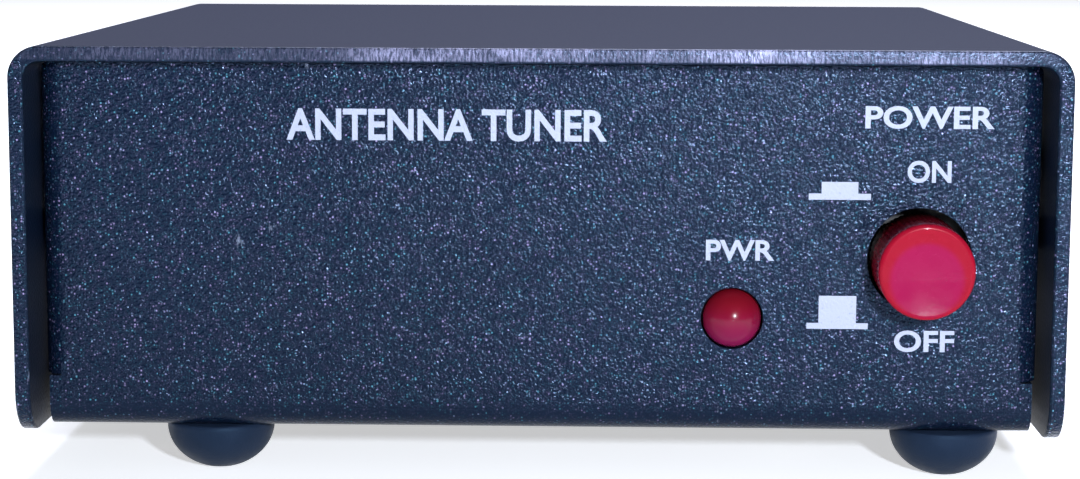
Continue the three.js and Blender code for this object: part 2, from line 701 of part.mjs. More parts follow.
const relayParts = {
  relay_base: [relayBase(), black_plastic],
  relay_coil: [relayCoil(), copper],
  relay_yoke: [relayYoke(), steel],
  relay_armature: [relayArmature(), steel],
  relay_cover: [relayCover(), blue_sleeve],
};
for (const [name, [geometry, material]] of Object.entries(relayParts)) {
  add(name, at(geometry, RELAY.x, RELAY.y, RELAY_Z), material);
}

// ---- Bridge transformer: a ring core lying on the board, with its winding ------------------------

const CORE = { x: -24, y: 4, inner: 3.9, outer: 6.35, h: 4.8, z: BOARD_TOP + 3.85 };
const GAUGE = 0.35;
const WINDING_ENDS = [-2.5, 2.5];

function coreWinding() {
  const [turns, steps] = [8, 80];
  const middle = (CORE.inner + CORE.outer) / 2;
  const clear = GAUGE + 0.6;
  const reach = (CORE.outer - CORE.inner) / 2 + clear;
  const rise = CORE.h / 2 + clear;
  // A rounded-square loop keeps the wire outside the core's square section.
  const square = (value) => Math.sign(value) * Math.abs(value) ** 0.45;
  class Winding extends THREE.Curve {
    getPoint(t, target = new THREE.Vector3()) {
      const loop = 2 * PI * turns * t;
      const round = (-75 - 330 * t) * (PI / 180);
      const r = middle + reach * square(cos(loop));
      return target.set(r * cos(round), r * sin(round), rise * square(sin(loop)));
    }
  }
  return drawnWire(new Winding(), GAUGE, steps, 5);
}
const coreRing = pipe(CORE.inner, CORE.outer, -CORE.h / 2, CORE.h / 2, "z", 20);
add("transformer_core", at(coreRing, CORE.x, CORE.y, CORE.z), ferrite);
add("transformer_winding", at(coreWinding(), CORE.x, CORE.y, CORE.z), copper);

// ---- Smoothing capacitor and balance trimmer ----------------------------------------------------

const CAPACITOR = { x: 20, y: -13, r: 4, h: 11.5 };
function capacitor() {
  const z = BOARD_TOP + 0.1;
  const { r, h } = CAPACITOR;
  const can = turned([[0, z], [r - 0.4, z], [r, z + 0.5], [r, z + 1.2], [r - 0.35, z + 1.7], [r, z + 2.2],
    [r, z + h - 0.6], [r - 0.6, z + h], [0, z + h]], "z", 16);
  const leads = [-1.75, 1.75].map((x) => span([x - 0.3, -0.3, BOARD_Z - 1.4], [x + 0.3, 0.3, z + 1]));
  return at(join(can, ...leads), CAPACITOR.x, CAPACITOR.y, 0);
}
add("smoothing_capacitor", capacitor(), blue_sleeve);

const TRIMMER = { x: -22, y: -18, half: 3.4, h: 3.8, rotor: 2.3 };
const TRIMMER_PINS = [[-2.5, -2], [2.5, -2], [0, 2]];
function trimmerBody() {
  const z = BOARD_TOP + 0.1;
  const { half, h } = TRIMMER;
  const body = span([-half, -half, z], [half, half, z + h]);
  const pocket = at(rod(TRIMMER.rotor + 0.15, -1.2, 1, "z", 16), 0, 0, z + h);
  const low = BOARD_Z - 1.4;
  const pins = TRIMMER_PINS.map(([x, y]) => span([x - 0.3, y - 0.3, low], [x + 0.3, y + 0.3, z + 0.5]));
  return at(cut(join(body, ...pins), pocket), TRIMMER.x, TRIMMER.y, 0);
}
function trimmerRotor() {
  const low = BOARD_TOP + 0.1 + TRIMMER.h - 1.15;
  const disc = rod(TRIMMER.rotor, low, low + 1.5, "z", 16);
  const slot = span([-1.9, -0.35, low + 0.8], [1.9, 0.35, low + 3]);
  const pointer = span([1.2, -0.9, low + 0.8], [1.9, 0.9, low + 3]);
  return at(cut(disc, slot, pointer), TRIMMER.x, TRIMMER.y, 0);
}
add("balance_trimmer_body", trimmerBody(), blue_sleeve);
add("balance_trimmer_rotor", trimmerRotor(), white_plastic);

// ---- Internal leads, from the rear connectors down to the board ---------------------------------

const LEAD_R = 0.6;
const LEAD_ENDS = { radio: [24, 21], antenna: [-24, 21], positive: [-5, 22], negative: [5, 22] };
function boardLead(from, out, [x, y]) {
  const drop = [[x, y, BOARD_TOP + 3.5], [x, y, BOARD_TOP + 1], [x, y, BOARD_Z - 0.8]];
  return wire([from, out, ...drop], LEAD_R, 12);
}
for (const [name, x] of Object.entries(SOCKETS)) {
  const lead = boardLead([x, CUP_BACK + 3, MID_Z], [x, CUP_BACK - 2.5, MID_Z], LEAD_ENDS[name]);
  add(`${name}_lead`, lead, name === "radio" ? wire_red : wire_black);
}
const pinEnd = JACK_PIN_BACK - 0.2;
const positive = boardLead([0, pinEnd, JACK.z], [-1, pinEnd - 1.4, JACK.z], LEAD_ENDS.positive);
const [tagEnd, tagZ] = [JACK_BACK - 3.2, JACK.z + 3.95];
const negative = boardLead([0, tagEnd, tagZ], [1, tagEnd - 1.4, tagZ], LEAD_ENDS.negative);
add("power_lead_positive", positive, wire_red);
add("power_lead_negative", negative, wire_black);

// ---- Circuit board, its standoffs and screws ----------------------------------------------------

const BOARD = { half: 41, front: -34, rear: 27 };
function circuitBoard() {
  const plate = span([-BOARD.half, BOARD.front, BOARD_Z], [BOARD.half, BOARD.rear, BOARD_TOP]);
  const drill = (x, y, size = 1) => at(block(size, size, 6), x, y, BOARD_Z + BOARD_T / 2);
  const holes = Object.values(STANDOFFS).map(([x, y]) => at(rod(1.7, -3, 3, "z", 12), x, y, BOARD_Z));
  PIN_ROWS.forEach((y) => [-PIN_X, PIN_X].forEach((x) => holes.push(drill(BUTTON.x + x, y))));
  Object.values(LAMP_LEADS).forEach((x) => holes.push(drill(x, LEAD_Y)));
  RELAY_PINS.forEach(([x, y]) => holes.push(drill(RELAY.x + x, RELAY.y + y)));
  [-1.75, 1.75].forEach((x) => holes.push(drill(CAPACITOR.x + x, CAPACITOR.y)));
  TRIMMER_PINS.forEach(([x, y]) => holes.push(drill(TRIMMER.x + x, TRIMMER.y + y)));
  Object.values(LEAD_ENDS).forEach(([x, y]) => holes.push(drill(x, y, 1.5)));
  WINDING_ENDS.forEach((x) => holes.push(drill(CORE.x + x, CORE.y - 8.5)));
  return cut(plate, ...holes);
}
add("circuit_board", circuitBoard(), green_board);

const BOARD_SCREW_R = 1.45;
function standoff() {
  const acrossFlats = 5;
  const hexagon = rod(acrossFlats / 2 / cos(PI / 6), FLOOR_Z + SLIP, BOARD_Z - SLIP, "z", 6);
  const spigot = rod(SPIGOT_R, TRAY_Z, FLOOR_Z + 1, "z", 12);
  const thread = rod(BOARD_SCREW_R + 0.1, TRAY_Z - 1, BOARD_Z + 1, "z", 12);
  return cut(join(hexagon, spigot), thread);
}
for (const [name, [x, y]] of Object.entries(STANDOFFS)) {
  add(`standoff_${name}`, at(standoff(), x, y, 0), nickel);
  add(`board_screw_${name}`, at(panScrew(2.7, 1.7, BOARD_SCREW_R, 5), x, y, BOARD_TOP + SLIP), nickel);
}

// ---- The part's own frame: its box is centred over the origin ------------------------------------

tuner.position.y = -(BARREL_END - PANEL_Y - BUTTON.proud) / 2;

export default tuner;
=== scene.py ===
import json
import math

import bmesh
import bpy
from mathutils import Matrix, Vector

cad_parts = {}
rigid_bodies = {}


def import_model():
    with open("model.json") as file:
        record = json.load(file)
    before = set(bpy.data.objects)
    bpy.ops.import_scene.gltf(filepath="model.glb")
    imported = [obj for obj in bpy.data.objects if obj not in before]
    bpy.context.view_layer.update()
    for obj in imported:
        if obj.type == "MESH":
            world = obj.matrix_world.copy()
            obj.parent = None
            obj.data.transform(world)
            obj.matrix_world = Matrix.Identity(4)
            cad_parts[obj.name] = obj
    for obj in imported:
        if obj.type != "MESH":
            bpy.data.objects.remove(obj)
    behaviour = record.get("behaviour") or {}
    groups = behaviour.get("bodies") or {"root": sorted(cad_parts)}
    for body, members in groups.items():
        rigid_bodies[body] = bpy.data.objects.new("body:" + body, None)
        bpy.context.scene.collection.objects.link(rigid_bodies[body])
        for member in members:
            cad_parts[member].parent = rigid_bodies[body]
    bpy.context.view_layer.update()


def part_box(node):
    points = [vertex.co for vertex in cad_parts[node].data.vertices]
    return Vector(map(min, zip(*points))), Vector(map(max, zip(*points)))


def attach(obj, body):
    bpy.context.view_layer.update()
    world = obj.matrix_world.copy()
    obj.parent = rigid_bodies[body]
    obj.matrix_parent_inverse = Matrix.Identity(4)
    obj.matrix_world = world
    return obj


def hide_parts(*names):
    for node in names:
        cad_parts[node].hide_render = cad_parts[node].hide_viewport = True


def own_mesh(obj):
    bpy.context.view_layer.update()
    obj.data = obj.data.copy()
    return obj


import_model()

# ---- The stand: floor, light and camera ----
# A plain pale floor that runs out of sight, a small key lamp up to the right beside the lens, a
# weak soft fill to the left, a broad lamp over the lid, and a long lens a little above the front.

MM = 0.001
NODES = bpy.data.objects


class Sum:
    """A node's output that adds, multiplies and compares in plain expressions."""

    def __init__(self, owner, socket):
        self.owner, self.socket = owner, socket

    def maths(self, operation, *values):
        inputs = dict(enumerate(values))
        return self.owner.node("ShaderNodeMath", {"operation": operation}, inputs)

    def __add__(self, other):
        return self.maths("ADD", self, other)

    def __sub__(self, other):
        return self.maths("SUBTRACT", self, other)

    def __rsub__(self, other):
        return self.maths("SUBTRACT", other, self)

    def __mul__(self, other):
        return self.maths("MULTIPLY", self, other)

    def __truediv__(self, other):
        return self.maths("DIVIDE", self, other)

    def __pow__(self, other):
        return self.maths("POWER", self, other)

    __radd__ = __add__
    __rmul__ = __mul__


class Tree:
    """A node tree being written, one node at a time."""

    def __init__(self, tree):
        self.tree = tree

    def asks(self, **sockets):
        """Names what a geometry tree is given, and opens its way in."""
        for name, kind in sockets.items():
            self.tree.interface.new_socket(name, in_out="INPUT", socket_type=f"NodeSocket{kind}")
        self.tree.interface.new_socket("Made", in_out="OUTPUT", socket_type="NodeSocketGeometry")
        self.way_in = self.tree.nodes.new("NodeGroupInput")

    def given(self, name):
        return Sum(self, self.way_in.outputs[name])

    def gives(self, geometry):
        """Ends a geometry tree in its material."""
        inputs = {"Geometry": geometry, "Material": self.given("Material")}
        painted = self.node("GeometryNodeSetMaterial", {}, inputs)
        self.feed(self.tree.nodes.new("NodeGroupOutput").inputs["Made"], painted)

    def node(self, kind, settings=None, inputs=None, output=0):
        made = self.tree.nodes.new(kind)
        for key, value in (settings or {}).items():
            setattr(made, key, value)
        for key, value in (inputs or {}).items():
            self.feed(made.inputs[key], value)
        return Sum(self, made.outputs[output])

    def feed(self, socket, value):
        if isinstance(value, Sum):
            self.tree.links.new(value.socket, socket)
        else:
            socket.default_value = value


class Paint(Tree):
    """A material being mixed. Sizes in its patterns are millimetres of the real surface."""

    def __init__(self, name, **constants):
        self.material = bpy.data.materials.new(name)
        self.material.use_nodes = True
        super().__init__(self.material.node_tree)
        self.shader = self.tree.nodes["Principled BSDF"]
        for socket, value in constants.items():
            self.set(socket.replace("_", " "), value)
        self.place = self.node("ShaderNodeTexCoord", output="Object")

    def set(self, socket, value):
        self.feed(self.shader.inputs[socket], value)

    def stretched(self, x, y, z):
        return self.node("ShaderNodeVectorMath", {"operation": "MULTIPLY"}, {0: self.place, 1: (x, y, z)})

    def noise(self, size, detail=2.0, roughness=0.5, place=None):
        return self.node("ShaderNodeTexNoise", {}, {"Vector": place or self.place, "Scale": 1 / (size * MM),
            "Detail": detail, "Roughness": roughness}, "Fac")

    def painted_glints(self, size, rarity, reach):
        """Scattered points for painted glints, each of its own brightness; the rarer, the fewer are bright."""
        inputs = {"Vector": self.place, "Scale": 1 / (size * MM)}
        distance = self.node("ShaderNodeTexVoronoi", {}, inputs, "Distance")
        own = self.node("ShaderNodeSeparateColor", {}, {0: Sum(self, distance.socket.node.outputs["Color"])})
        return own ** rarity * self.part_of(distance, reach, reach * 0.35)

    def part_of(self, value, low, high, start=0.0, end=1.0):
        return self.node("ShaderNodeMapRange", {"interpolation_type": "SMOOTHSTEP"},
            {0: value, 1: low, 2: high, 3: start, 4: end})

    def along(self, axis):
        return self.node("ShaderNodeSeparateXYZ", {}, {0: self.place}, axis) / MM

    def blend(self, share, first, second):
        first, second = [c if isinstance(c, Sum) else (*c, 1) for c in (first, second)]
        return self.node("ShaderNodeMix", {"data_type": "RGBA"}, {0: share, 6: first, 7: second}, 2)

    def bump(self, height, depth, normal=None):
        under = {"Normal": normal} if normal else {}
        return self.node("ShaderNodeBump", {}, {"Height": height, "Distance": depth * MM, "Strength": 1.0, **under})

    def ranging(self, cloud, low, high):
        return self.part_of(cloud, 0.3, 0.7, low, high)

    def done(self, colour, roughness, normal, metallic=None):
        """The mixed material, with what varies over it fed to its shader."""
        self.set("Base Color", colour)
        if metallic:
            self.set("Metallic", metallic)
        self.set("Roughness", roughness)
        self.set("Normal", normal)
        return self.material


def placed(name, data):
    made = NODES.new(name, data)
    bpy.context.scene.collection.objects.link(made)
    return made


def floor():
    paint = Paint("floor_paper", Roughness=0.9, Specular_IOR_Level=0.1, Emission_Strength=0.55)
    paint.set("Emission Color", (1.0, 1.0, 1.0, 1))
    tone = paint.part_of(paint.noise(120, 3), 0.3, 0.7)
    paint.set("Base Color", paint.blend(tone, (0.86, 0.875, 0.9), (0.89, 0.9, 0.92)))
    half = 6.0
    mesh = bpy.data.meshes.new("floor")
    mesh.from_pydata([(-half, -half, 0), (half, -half, 0), (half, half, 0), (-half, half, 0)], [], [(0, 1, 2, 3)])
    mesh.materials.append(paint.material)
    placed("floor", mesh)


def lamp(name, place, aim, size, power, colour):
    light = bpy.data.lights.new(name, "AREA")
    light.shape, light.size, light.energy, light.color = "DISK", size, power, colour
    made = placed(name, light)
    made.location = place
    made.rotation_euler = (Vector(aim) - Vector(place)).to_track_quat("-Z", "Y").to_euler()


def studio():
    world = bpy.data.worlds.new("studio")
    world.use_nodes = True
    sky = world.node_tree.nodes["Background"].inputs
    sky["Color"].default_value, sky["Strength"].default_value = (0.82, 0.90, 1.0, 1), 0.16
    bpy.context.scene.world = world
    bpy.context.scene.view_settings.view_transform = "Standard"
    lamp("key", (0.066, -0.30, 0.084), (0.02, 0, 0.02), 0.020, 1.1, (0.86, 0.91, 1.0))
    lamp("fill", (-0.5, -0.5, 0.25), (0, 0, 0.02), 0.5, 0.08, (0.70, 0.85, 1.0))
    lamp("lid", (0.1, 0.35, 0.75), (0, 0, 0.03), 0.6, 14.0, (0.84, 0.86, 1.0))

    camera = bpy.data.cameras.new("camera")
    camera.lens, camera.sensor_width, camera.clip_start = 82.83, 36.0, 0.01
    made = placed("camera", camera)
    right, up = Vector((0.99964, 0.02663, 0.00381)), Vector((-0.00738, 0.13552, 0.99075))
    low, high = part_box("top_cover")
    aside, distance, level = 0.00594, 0.26466, 0.05285
    made.matrix_world = Matrix((right, up, right.cross(up))).transposed().to_4x4()
    made.matrix_world.translation = Vector((aside, (low.y + high.y) / 2 - distance, level))
    bpy.context.scene.camera = made


floor()
studio()

# ---- Chassis tray ----
# Folded from 1.4 mm sheet steel: a bottom turned up into the front and rear panels, whose sides
# fold back inside the cover. Punched for the controls and sockets, then powder coated near-black.

SHEET = 1.4


def sized(node):
    """Lowest and highest corner of a CAD node, in millimetres."""
    return [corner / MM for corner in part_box(node)]


def middle(node):
    low, high = sized(node)
    return (low + high) / 2


def turned_out(mesh):
    """The mesh with its doubled points joined and its faces turned outwards."""
    work = bmesh.new()
    work.from_mesh(mesh)
    bmesh.ops.remove_doubles(work, verts=work.verts, dist=1e-7)
    bmesh.ops.recalc_face_normals(work, faces=work.faces)
    work.to_mesh(mesh)
    work.free()
    return mesh


def thing(name, points, faces):
    """A closed object from points in millimetres."""
    mesh = bpy.data.meshes.new(name)
    mesh.from_pydata([[value * MM for value in p] for p in points], [], faces)
    return placed(name, turned_out(mesh))


def arc(centre, radius, start, end, steps=10):
    """Points on an arc, angles in degrees."""
    turns = [math.radians(start + (end - start) * k / steps) for k in range(steps + 1)]
    return [(centre[0] + radius * math.cos(t), centre[1] + radius * math.sin(t)) for t in turns]


def quarter(steps):
    """Angles over a quarter turn."""
    return [math.pi / 2 * k / steps for k in range(steps + 1)]


def folded(half, bottom, top, bend, steps=10):
    """The section of a sheet folded up at both ends, by its outside sizes."""
    left, right, inside = (-half + bend, bottom + bend), (half - bend, bottom + bend), bend - SHEET
    outer = [*arc(left, bend, 180, 270, steps), *arc(right, bend, 270, 360, steps), (half, top)]
    inner = [*arc(right, inside, 0, -90, steps), *arc(left, inside, -90, -180, steps)]
    return [(-half, top), *outer, (half - SHEET, top), *inner, (-half + SHEET, top)]


def round_corners(width, height, radius, centre=(0, 0), steps=8):
    """A rectangle with round corners."""
    u, v = width / 2 - radius, height / 2 - radius
    corners = [(u, v, 0), (-u, v, 90), (-u, -v, 180), (u, -v, 270)]
    return [p for cu, cv, start in corners for p in
        arc((centre[0] + cu, centre[1] + cv), radius, start, start + 90, steps)]


def stood(axis, u, v, w):
    """A point whose height w runs along the axis."""
    return {"x": (w, u, v), "y": (u, w, v), "z": (u, v, w)}[axis]


def prism(outline, axis, start, end):
    """An outline drawn out along an axis. Across x it lies in YZ, across y in XZ, across z in XY."""
    count = len(outline)
    points = [stood(axis, u, v, w) for w in (start, end) for u, v in outline]
    sides = [(k, (k + 1) % count, count + (k + 1) % count, count + k) for k in range(count)]
    return thing("shape", points, [tuple(range(count)), tuple(range(count, 2 * count)), *sides])


def drum(radius, axis, centre, start, end, sides=64):
    return prism(arc(centre, radius, 0, 360 - 360 / sides, sides - 1), axis, start, end)


def block(low, high):
    (left, front, bottom), (right, back, top) = low, high
    return prism([(left, front), (right, front), (right, back), (left, back)], "z", bottom, top)


def made_mesh(shape):
    """The mesh that a shape and its modifiers come to."""
    bpy.context.view_layer.update()
    return bpy.data.meshes.new_from_object(shape.evaluated_get(bpy.context.evaluated_depsgraph_get()))


def worked_in(shape):
    """The shape with its modifiers worked into its mesh."""
    mesh = made_mesh(shape)
    shape.modifiers.clear()
    shape.data = mesh
    return shape


def tooled(shape, how, *tools):
    """The shape after each tool is cut out of it, joined to it or left in common with it."""
    for tool in tools:
        step = shape.modifiers.new("tool", "BOOLEAN")
        step.object, step.operation, step.solver = tool, how, "EXACT"
    worked_in(shape)
    for tool in tools:
        NODES.remove(tool)
    return shape


def bevelled(shape, width, segments):
    """The modifier that breaks a shape's edges."""
    step = shape.modifiers.new("edge", "BEVEL")
    step.width, step.segments, step.limit_method = width * MM, segments, "ANGLE"
    return step


def kept(shape, name, body="case", stands_for=()):
    """Names a mesh that has its material already, and fixes it to its body."""
    shape.name = shape.data.name = name
    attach(shape, body)
    if stands_for:
        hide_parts(*stands_for)
    return shape


def finished(shape, name, materials, body="case", stands_for=(), edge=0.0, smooth=32):
    """Breaks a shape's edges, smooths it, gives it its materials and fixes it to its body."""
    shape.data.materials.clear()
    for material in materials:
        shape.data.materials.append(material)
    shape.data.set_sharp_from_angle(angle=math.radians(smooth))
    if edge:
        step = bevelled(shape, edge, 2)
        step.angle_limit = math.radians(smooth + 3)
        step.material = len(materials) - 1
        worked_in(shape)
        shape.data.set_sharp_from_angle(angle=math.radians(60))
        flat = shape.modifiers.new("flat", "WEIGHTED_NORMAL")
        flat.keep_sharp, flat.weight = True, 90
        worked_in(shape)
    return kept(shape, name, body, stands_for)


def powder_coat(name, wear, ground=(0.0014, 0.0038, 0.0110), calm=None, marks=(), gloss=0.29):
    """Near-black textured powder coat: fine grains that glint, painted glints flecked into its colour, and bare
    metal where it has rubbed.
    calm says where the grains run smooth and the painted glints dim; marks are places of another colour, painted
    sheen and highlight among them."""
    paint = Paint(name, Specular_IOR_Level=gloss, Specular_Tint=(0.48, 0.67, 1.0, 1))
    fine, grain, broad = paint.noise(0.14, 2, 0.6), paint.noise(0.27, 1, 0.5), paint.noise(24, 2)
    # Painted glints: scattered pale specks in the coat's colour stand in for the lamp sparkling off the grains.
    painted_glints = paint.painted_glints(0.16, 3.0, 0.62) * 0.09 + paint.painted_glints(0.25, 7, 0.5) * 0.60
    smooth = calm(paint) if calm else 0.0
    # calm dims the painted glints along with the grains.
    if calm:
        painted_glints, grain, fine = [value * (1 - smooth * 0.6) for value in (painted_glints, grain, fine)]
    # The painted glints' colours, from teal to lilac.
    tint = paint.blend(paint.part_of(paint.noise(0.6, 1), 0.4, 0.6), (0.10, 0.34, 0.44), (0.40, 0.32, 0.60))
    coat = paint.blend(broad, ground, [c * 1.6 for c in ground])
    coat = paint.blend(painted_glints, coat, tint)
    wear_and_glints = paint.noise(0.9, 4, 0.65, paint.stretched(1, 1, 0.4))
    bare = paint.part_of(wear_and_glints + paint.noise(9, 2) * 0.5, 0.98 - wear, 1.06 - wear)
    coat = paint.blend(bare, coat, (0.10, 0.12, 0.17))
    for share, colour in marks:
        coat = paint.blend(share(paint), coat, colour)
    roughness = paint.part_of(fine, 0.35, 0.65, 0.08, 0.20) + smooth * 0.2
    return paint.done(coat, roughness, paint.bump(fine, 0.010, paint.bump(grain, 0.125)), bare * 0.4)


cover_low, cover_high = sized("top_cover")
tray_low, tray_high = sized("chassis_tray")
case_y = (tray_low.y + tray_high.y) / 2
BUTTON_DROP = 0.3
BUTTON, LAMP = middle("power_button_cap"), middle("lamp_lens")
JACK, POST = middle("power_jack_nut"), middle("ground_post_nut")
OWNERS = ("radio", "antenna")
SOCKETS = [middle(f"{owner}_socket_insulator") for owner in OWNERS]
RIVET_NAMES = [f"{owner}_socket_rivet_{level}" for owner in OWNERS for level in ("high", "low")]
RIVETS = [middle(name) for name in RIVET_NAMES]
CORNERS = [f"{end}_{side}" for end in ("front", "rear") for side in ("left", "right")]
SCREWS = {corner: middle(f"cover_screw_{corner}") for corner in CORNERS}
HOLES = {"button": 4.75, "lamp": 2.83, "socket": 7.9, "rivet": 1.6, "jack": 4.1, "post": 2.1,
    "standoff": 2.05, "screw": 1.6}
TRAY_BEND, FLANGE_BEND, COVER_BEND = 2.2, 2.1, 2.9


def bends(paint):
    """The tray's bends, where rolling has drawn the coat smooth; the painted glints are dimmed there as well."""
    low = paint.part_of(paint.along("Z"), tray_low.z + TRAY_BEND + 0.5, tray_low.z + TRAY_BEND - 0.3)
    right = paint.part_of(paint.along("X"), tray_high.x - FLANGE_BEND - 0.3, tray_high.x - FLANGE_BEND + 0.9)
    left = paint.part_of(paint.along("X"), tray_low.x + FLANGE_BEND + 0.3, tray_low.x + FLANGE_BEND - 0.9)
    return low.maths("MAXIMUM", low, left.maths("MAXIMUM", left, right) * 0.5)


tray_coat = powder_coat("tray_powder_coat", 0.0, calm=bends, gloss=0.205)
# Painted highlight: the bevels' coat is painted lighter than the flat coat, for the lamp catching the edges; the
# bevels are also rubbed bare here and there.
tray_edge = powder_coat("tray_powder_coat_edge", 0.12, (0.006, 0.011, 0.024))


def chassis_tray():
    depth, half = (tray_high.y - tray_low.y) / 2, tray_high.x
    bottom_half, slot_z, slot = 45.0, tray_low.z + 4.9, 0.12
    outline = [(u + case_y, v) for u, v in folded(depth, tray_low.z, slot_z - slot, TRAY_BEND)]
    tray = prism(outline, "x", -bottom_half, bottom_half)
    for side in (-1, 1):
        panel = [(u, side * v + case_y) for u, v in folded(half, -depth, -depth + 12.8, FLANGE_BEND)]
        face = prism(panel, "z", slot_z, tray_high.z)
        blank = round_corners(2 * half, 60, 0.8, (0, tray_high.z - 30))
        tooled(face, "INTERSECT", prism(blank, "y", -100, 100))
        near, far = sorted((case_y + side * -depth, case_y + side * (-depth + SHEET)))
        tooled(tray, "UNION", face, block((-43.9, near, slot_z - 2), (43.9, far, slot_z + 1)))
    front, rear = (tray_low.y - 3, tray_low.y + 3), (tray_high.y - 3, tray_high.y + 3)
    holes = [drum(HOLES["button"], "y", (BUTTON.x, BUTTON.z + BUTTON_DROP), *front, 96),
        drum(HOLES["lamp"], "y", (LAMP.x, LAMP.z), *front)]
    holes += [drum(HOLES["socket"], "y", (s.x, s.z), *rear, 96) for s in SOCKETS]
    holes += [drum(HOLES["rivet"], "y", (r.x, r.z), *rear, 24) for r in RIVETS]
    holes += [drum(HOLES["jack"], "y", (JACK.x, JACK.z), *rear)]
    holes += [drum(HOLES["post"], "y", (POST.x, POST.z), *rear, 32)]
    for corner in CORNERS:
        spot, screw = middle(f"standoff_{corner}"), SCREWS[corner]
        holes.append(drum(HOLES["standoff"], "z", (spot.x, spot.y), tray_low.z - 1, tray_low.z + 2, 32))
        side = math.copysign(half - SHEET / 2, screw.x)
        holes.append(drum(HOLES["screw"], "x", (screw.y, screw.z), side - 2, side + 2, 24))
    tooled(tray, "DIFFERENCE", *holes)
    finished(tray, "tray", [tray_coat, tray_edge], stands_for=["chassis_tray"], edge=0.16)


chassis_tray()

# ---- Top cover ----
# A U of the same sheet, dropped over the tray and held by two screws a side. Its lower corners are
# rounded, and its front edge has rubbed pale where it is handled, with a painted highlight on it
# that brightens to the right. Its top face carries a painted sheen.


def front_edge(paint):
    """The cover's front end, dressed with a file: upright strokes and patches, with a painted highlight on them that
    is brightest right of the middle and fades as painted shade at the right corner bend.
    """
    end = paint.part_of(paint.along("Y"), cover_low.y + 0.35, cover_low.y + 0.02)
    strokes = paint.part_of(paint.noise(0.20, 3, 0.7, paint.stretched(1, 1, 0.2)), 0.42, 0.60, 0.2, 1.0)
    patches = paint.part_of(paint.noise(9, 3, 0.6, paint.stretched(1, 0.1, 1)), 0.40, 0.62, 0.30, 1.0)
    top = paint.part_of(paint.along("Z"), cover_high.z - 1.30, cover_high.z - 1.05)
    highlight_to_right = paint.part_of(paint.along("X"), cover_low.x + 3, cover_high.x * 0.3, 0.12, 1.0)
    # Painted shade: the highlight fades where the edge turns round the right corner bend.
    ends = paint.part_of(paint.along("X"), cover_high.x - COVER_BEND, cover_high.x - COVER_BEND - 4, 0.15, 1.0)
    return end * strokes * patches * top * highlight_to_right * ends


# The filed edge's pale colour, which also carries a painted highlight, and the painted sheen of the top face.
FILED_AND_SHEEN, TOP_SHEEN = (0.30, 0.30, 0.46), (0.017, 0.019, 0.050)


def sheen_on_top(paint):
    """Painted sheen: the top face is painted a little lighter, for the light it catches at a grazing angle."""
    return paint.part_of(paint.along("Z"), cover_high.z - 0.30, cover_high.z - 0.05)


def inside_walls(paint):
    """Thinner, smoother coat inside the sides, where the painted glints are dimmed as well."""
    x = paint.along("X")
    return paint.part_of(x.maths("ABSOLUTE", x), cover_high.x - SHEET + 0.25, cover_high.x - SHEET + 0.05)


# The cover's coat carries a painted sheen on its top face and a painted highlight on its filed front edge.
cover_coat = powder_coat("cover_powder_coat", 0.0, calm=inside_walls,
    marks=[(sheen_on_top, TOP_SHEEN), (front_edge, FILED_AND_SHEEN)], gloss=0.24)
cover_edge = powder_coat("cover_powder_coat_edge", 0.08, (0.002, 0.005, 0.012), calm=inside_walls,
    marks=[(front_edge, FILED_AND_SHEEN)], gloss=0.16)


def top_cover():
    outline = [(u, -v) for u, v in folded(cover_high.x, -cover_high.z, -cover_low.z, COVER_BEND, 14)]
    cover = prism(outline, "y", cover_low.y, cover_high.y)
    corner, top = 4.0, cover_high.z + 5
    level = cover_low.z + corner
    side = [(cover_low.y, top), *arc((cover_low.y + corner, level), corner, 180, 270),
        *arc((cover_high.y - corner, level), corner, 270, 360), (cover_high.y, top)]
    tooled(cover, "INTERSECT", prism(side, "x", -60, 60))
    holes = [drum(1.75, "x", (s.y, s.z), s.x - 6, s.x + 6, 32) for s in SCREWS.values()]
    tooled(cover, "DIFFERENCE", *holes)
    finished(cover, "cover", [cover_coat, cover_edge], stands_for=["top_cover"], edge=0.22)


top_cover()

# ---- Silk-screened markings ----
# Off-white ink, about 0.03 mm thick, in a bold plain face: what each control is for, the button's
# two states as small pictures, and what plugs in at the rear.

INK = 0.03


def ink_material():
    paint = Paint("silk_screen_ink")
    worn = paint.part_of(paint.noise(0.35, 4, 0.7), 0.60, 0.72)
    colour = paint.blend(worn, (0.27, 0.30, 0.40), (0.16, 0.19, 0.27))
    return paint.done(colour, 0.55, paint.bump(paint.noise(0.3, 2), 0.03))


ink = ink_material()


def printed(shape, name, panel):
    """Ink laid on a panel: the shape's flat outline in XY is stood up on the front or the rear."""
    face, way = (tray_low.y, -1) if panel == "front" else (tray_high.y, 1)
    for vertex in shape.data.vertices:
        x, z, height = vertex.co / MM
        vertex.co = Vector((-x * way, face + way * height, z)) * MM
    turned_out(shape.data)
    finished(shape, name, [ink])


def words(text, name, centre, width, height, panel="front"):
    """Bold lettering fitted to a width and height, centred."""
    weight = 0.024
    curve = bpy.data.curves.new("words", "FONT")
    curve.body, curve.extrude, curve.offset, curve.resolution_u = text, 0.01, weight, 5
    lettering = placed("words", curve)
    mesh = made_mesh(lettering)
    NODES.remove(lettering)
    low = [min(v.co[i] for v in mesh.vertices) for i in range(3)]
    high = [max(v.co[i] for v in mesh.vertices) for i in range(3)]
    way = -1 if panel == "rear" else 1
    for vertex in mesh.vertices:
        share = [(vertex.co[i] - low[i]) / (high[i] - low[i]) for i in range(3)]
        x, z = way * centre[0] + (share[0] - 0.5) * width, centre[1] + (share[1] - 0.5) * height
        vertex.co = Vector((x, z, share[2] * INK)) * MM
    printed(placed(name, mesh), name, panel)


def state_picture(name, centre, bar, block_size):
    """The button as a block on a bar: low when pressed in, tall when out."""
    x, z = centre
    (bar_w, bar_h), (block_w, block_h) = bar, block_size
    right = [(bar_w / 2, z - bar_h), (bar_w / 2, z), (block_w / 2, z), (block_w / 2, z + block_h)]
    outline = [(x - right[0][0], right[0][1]), *[(x + u, v) for u, v in right],
        *[(x - u, v) for u, v in reversed(right[1:])]]
    printed(prism(outline, "z", 0, INK), name, "front")


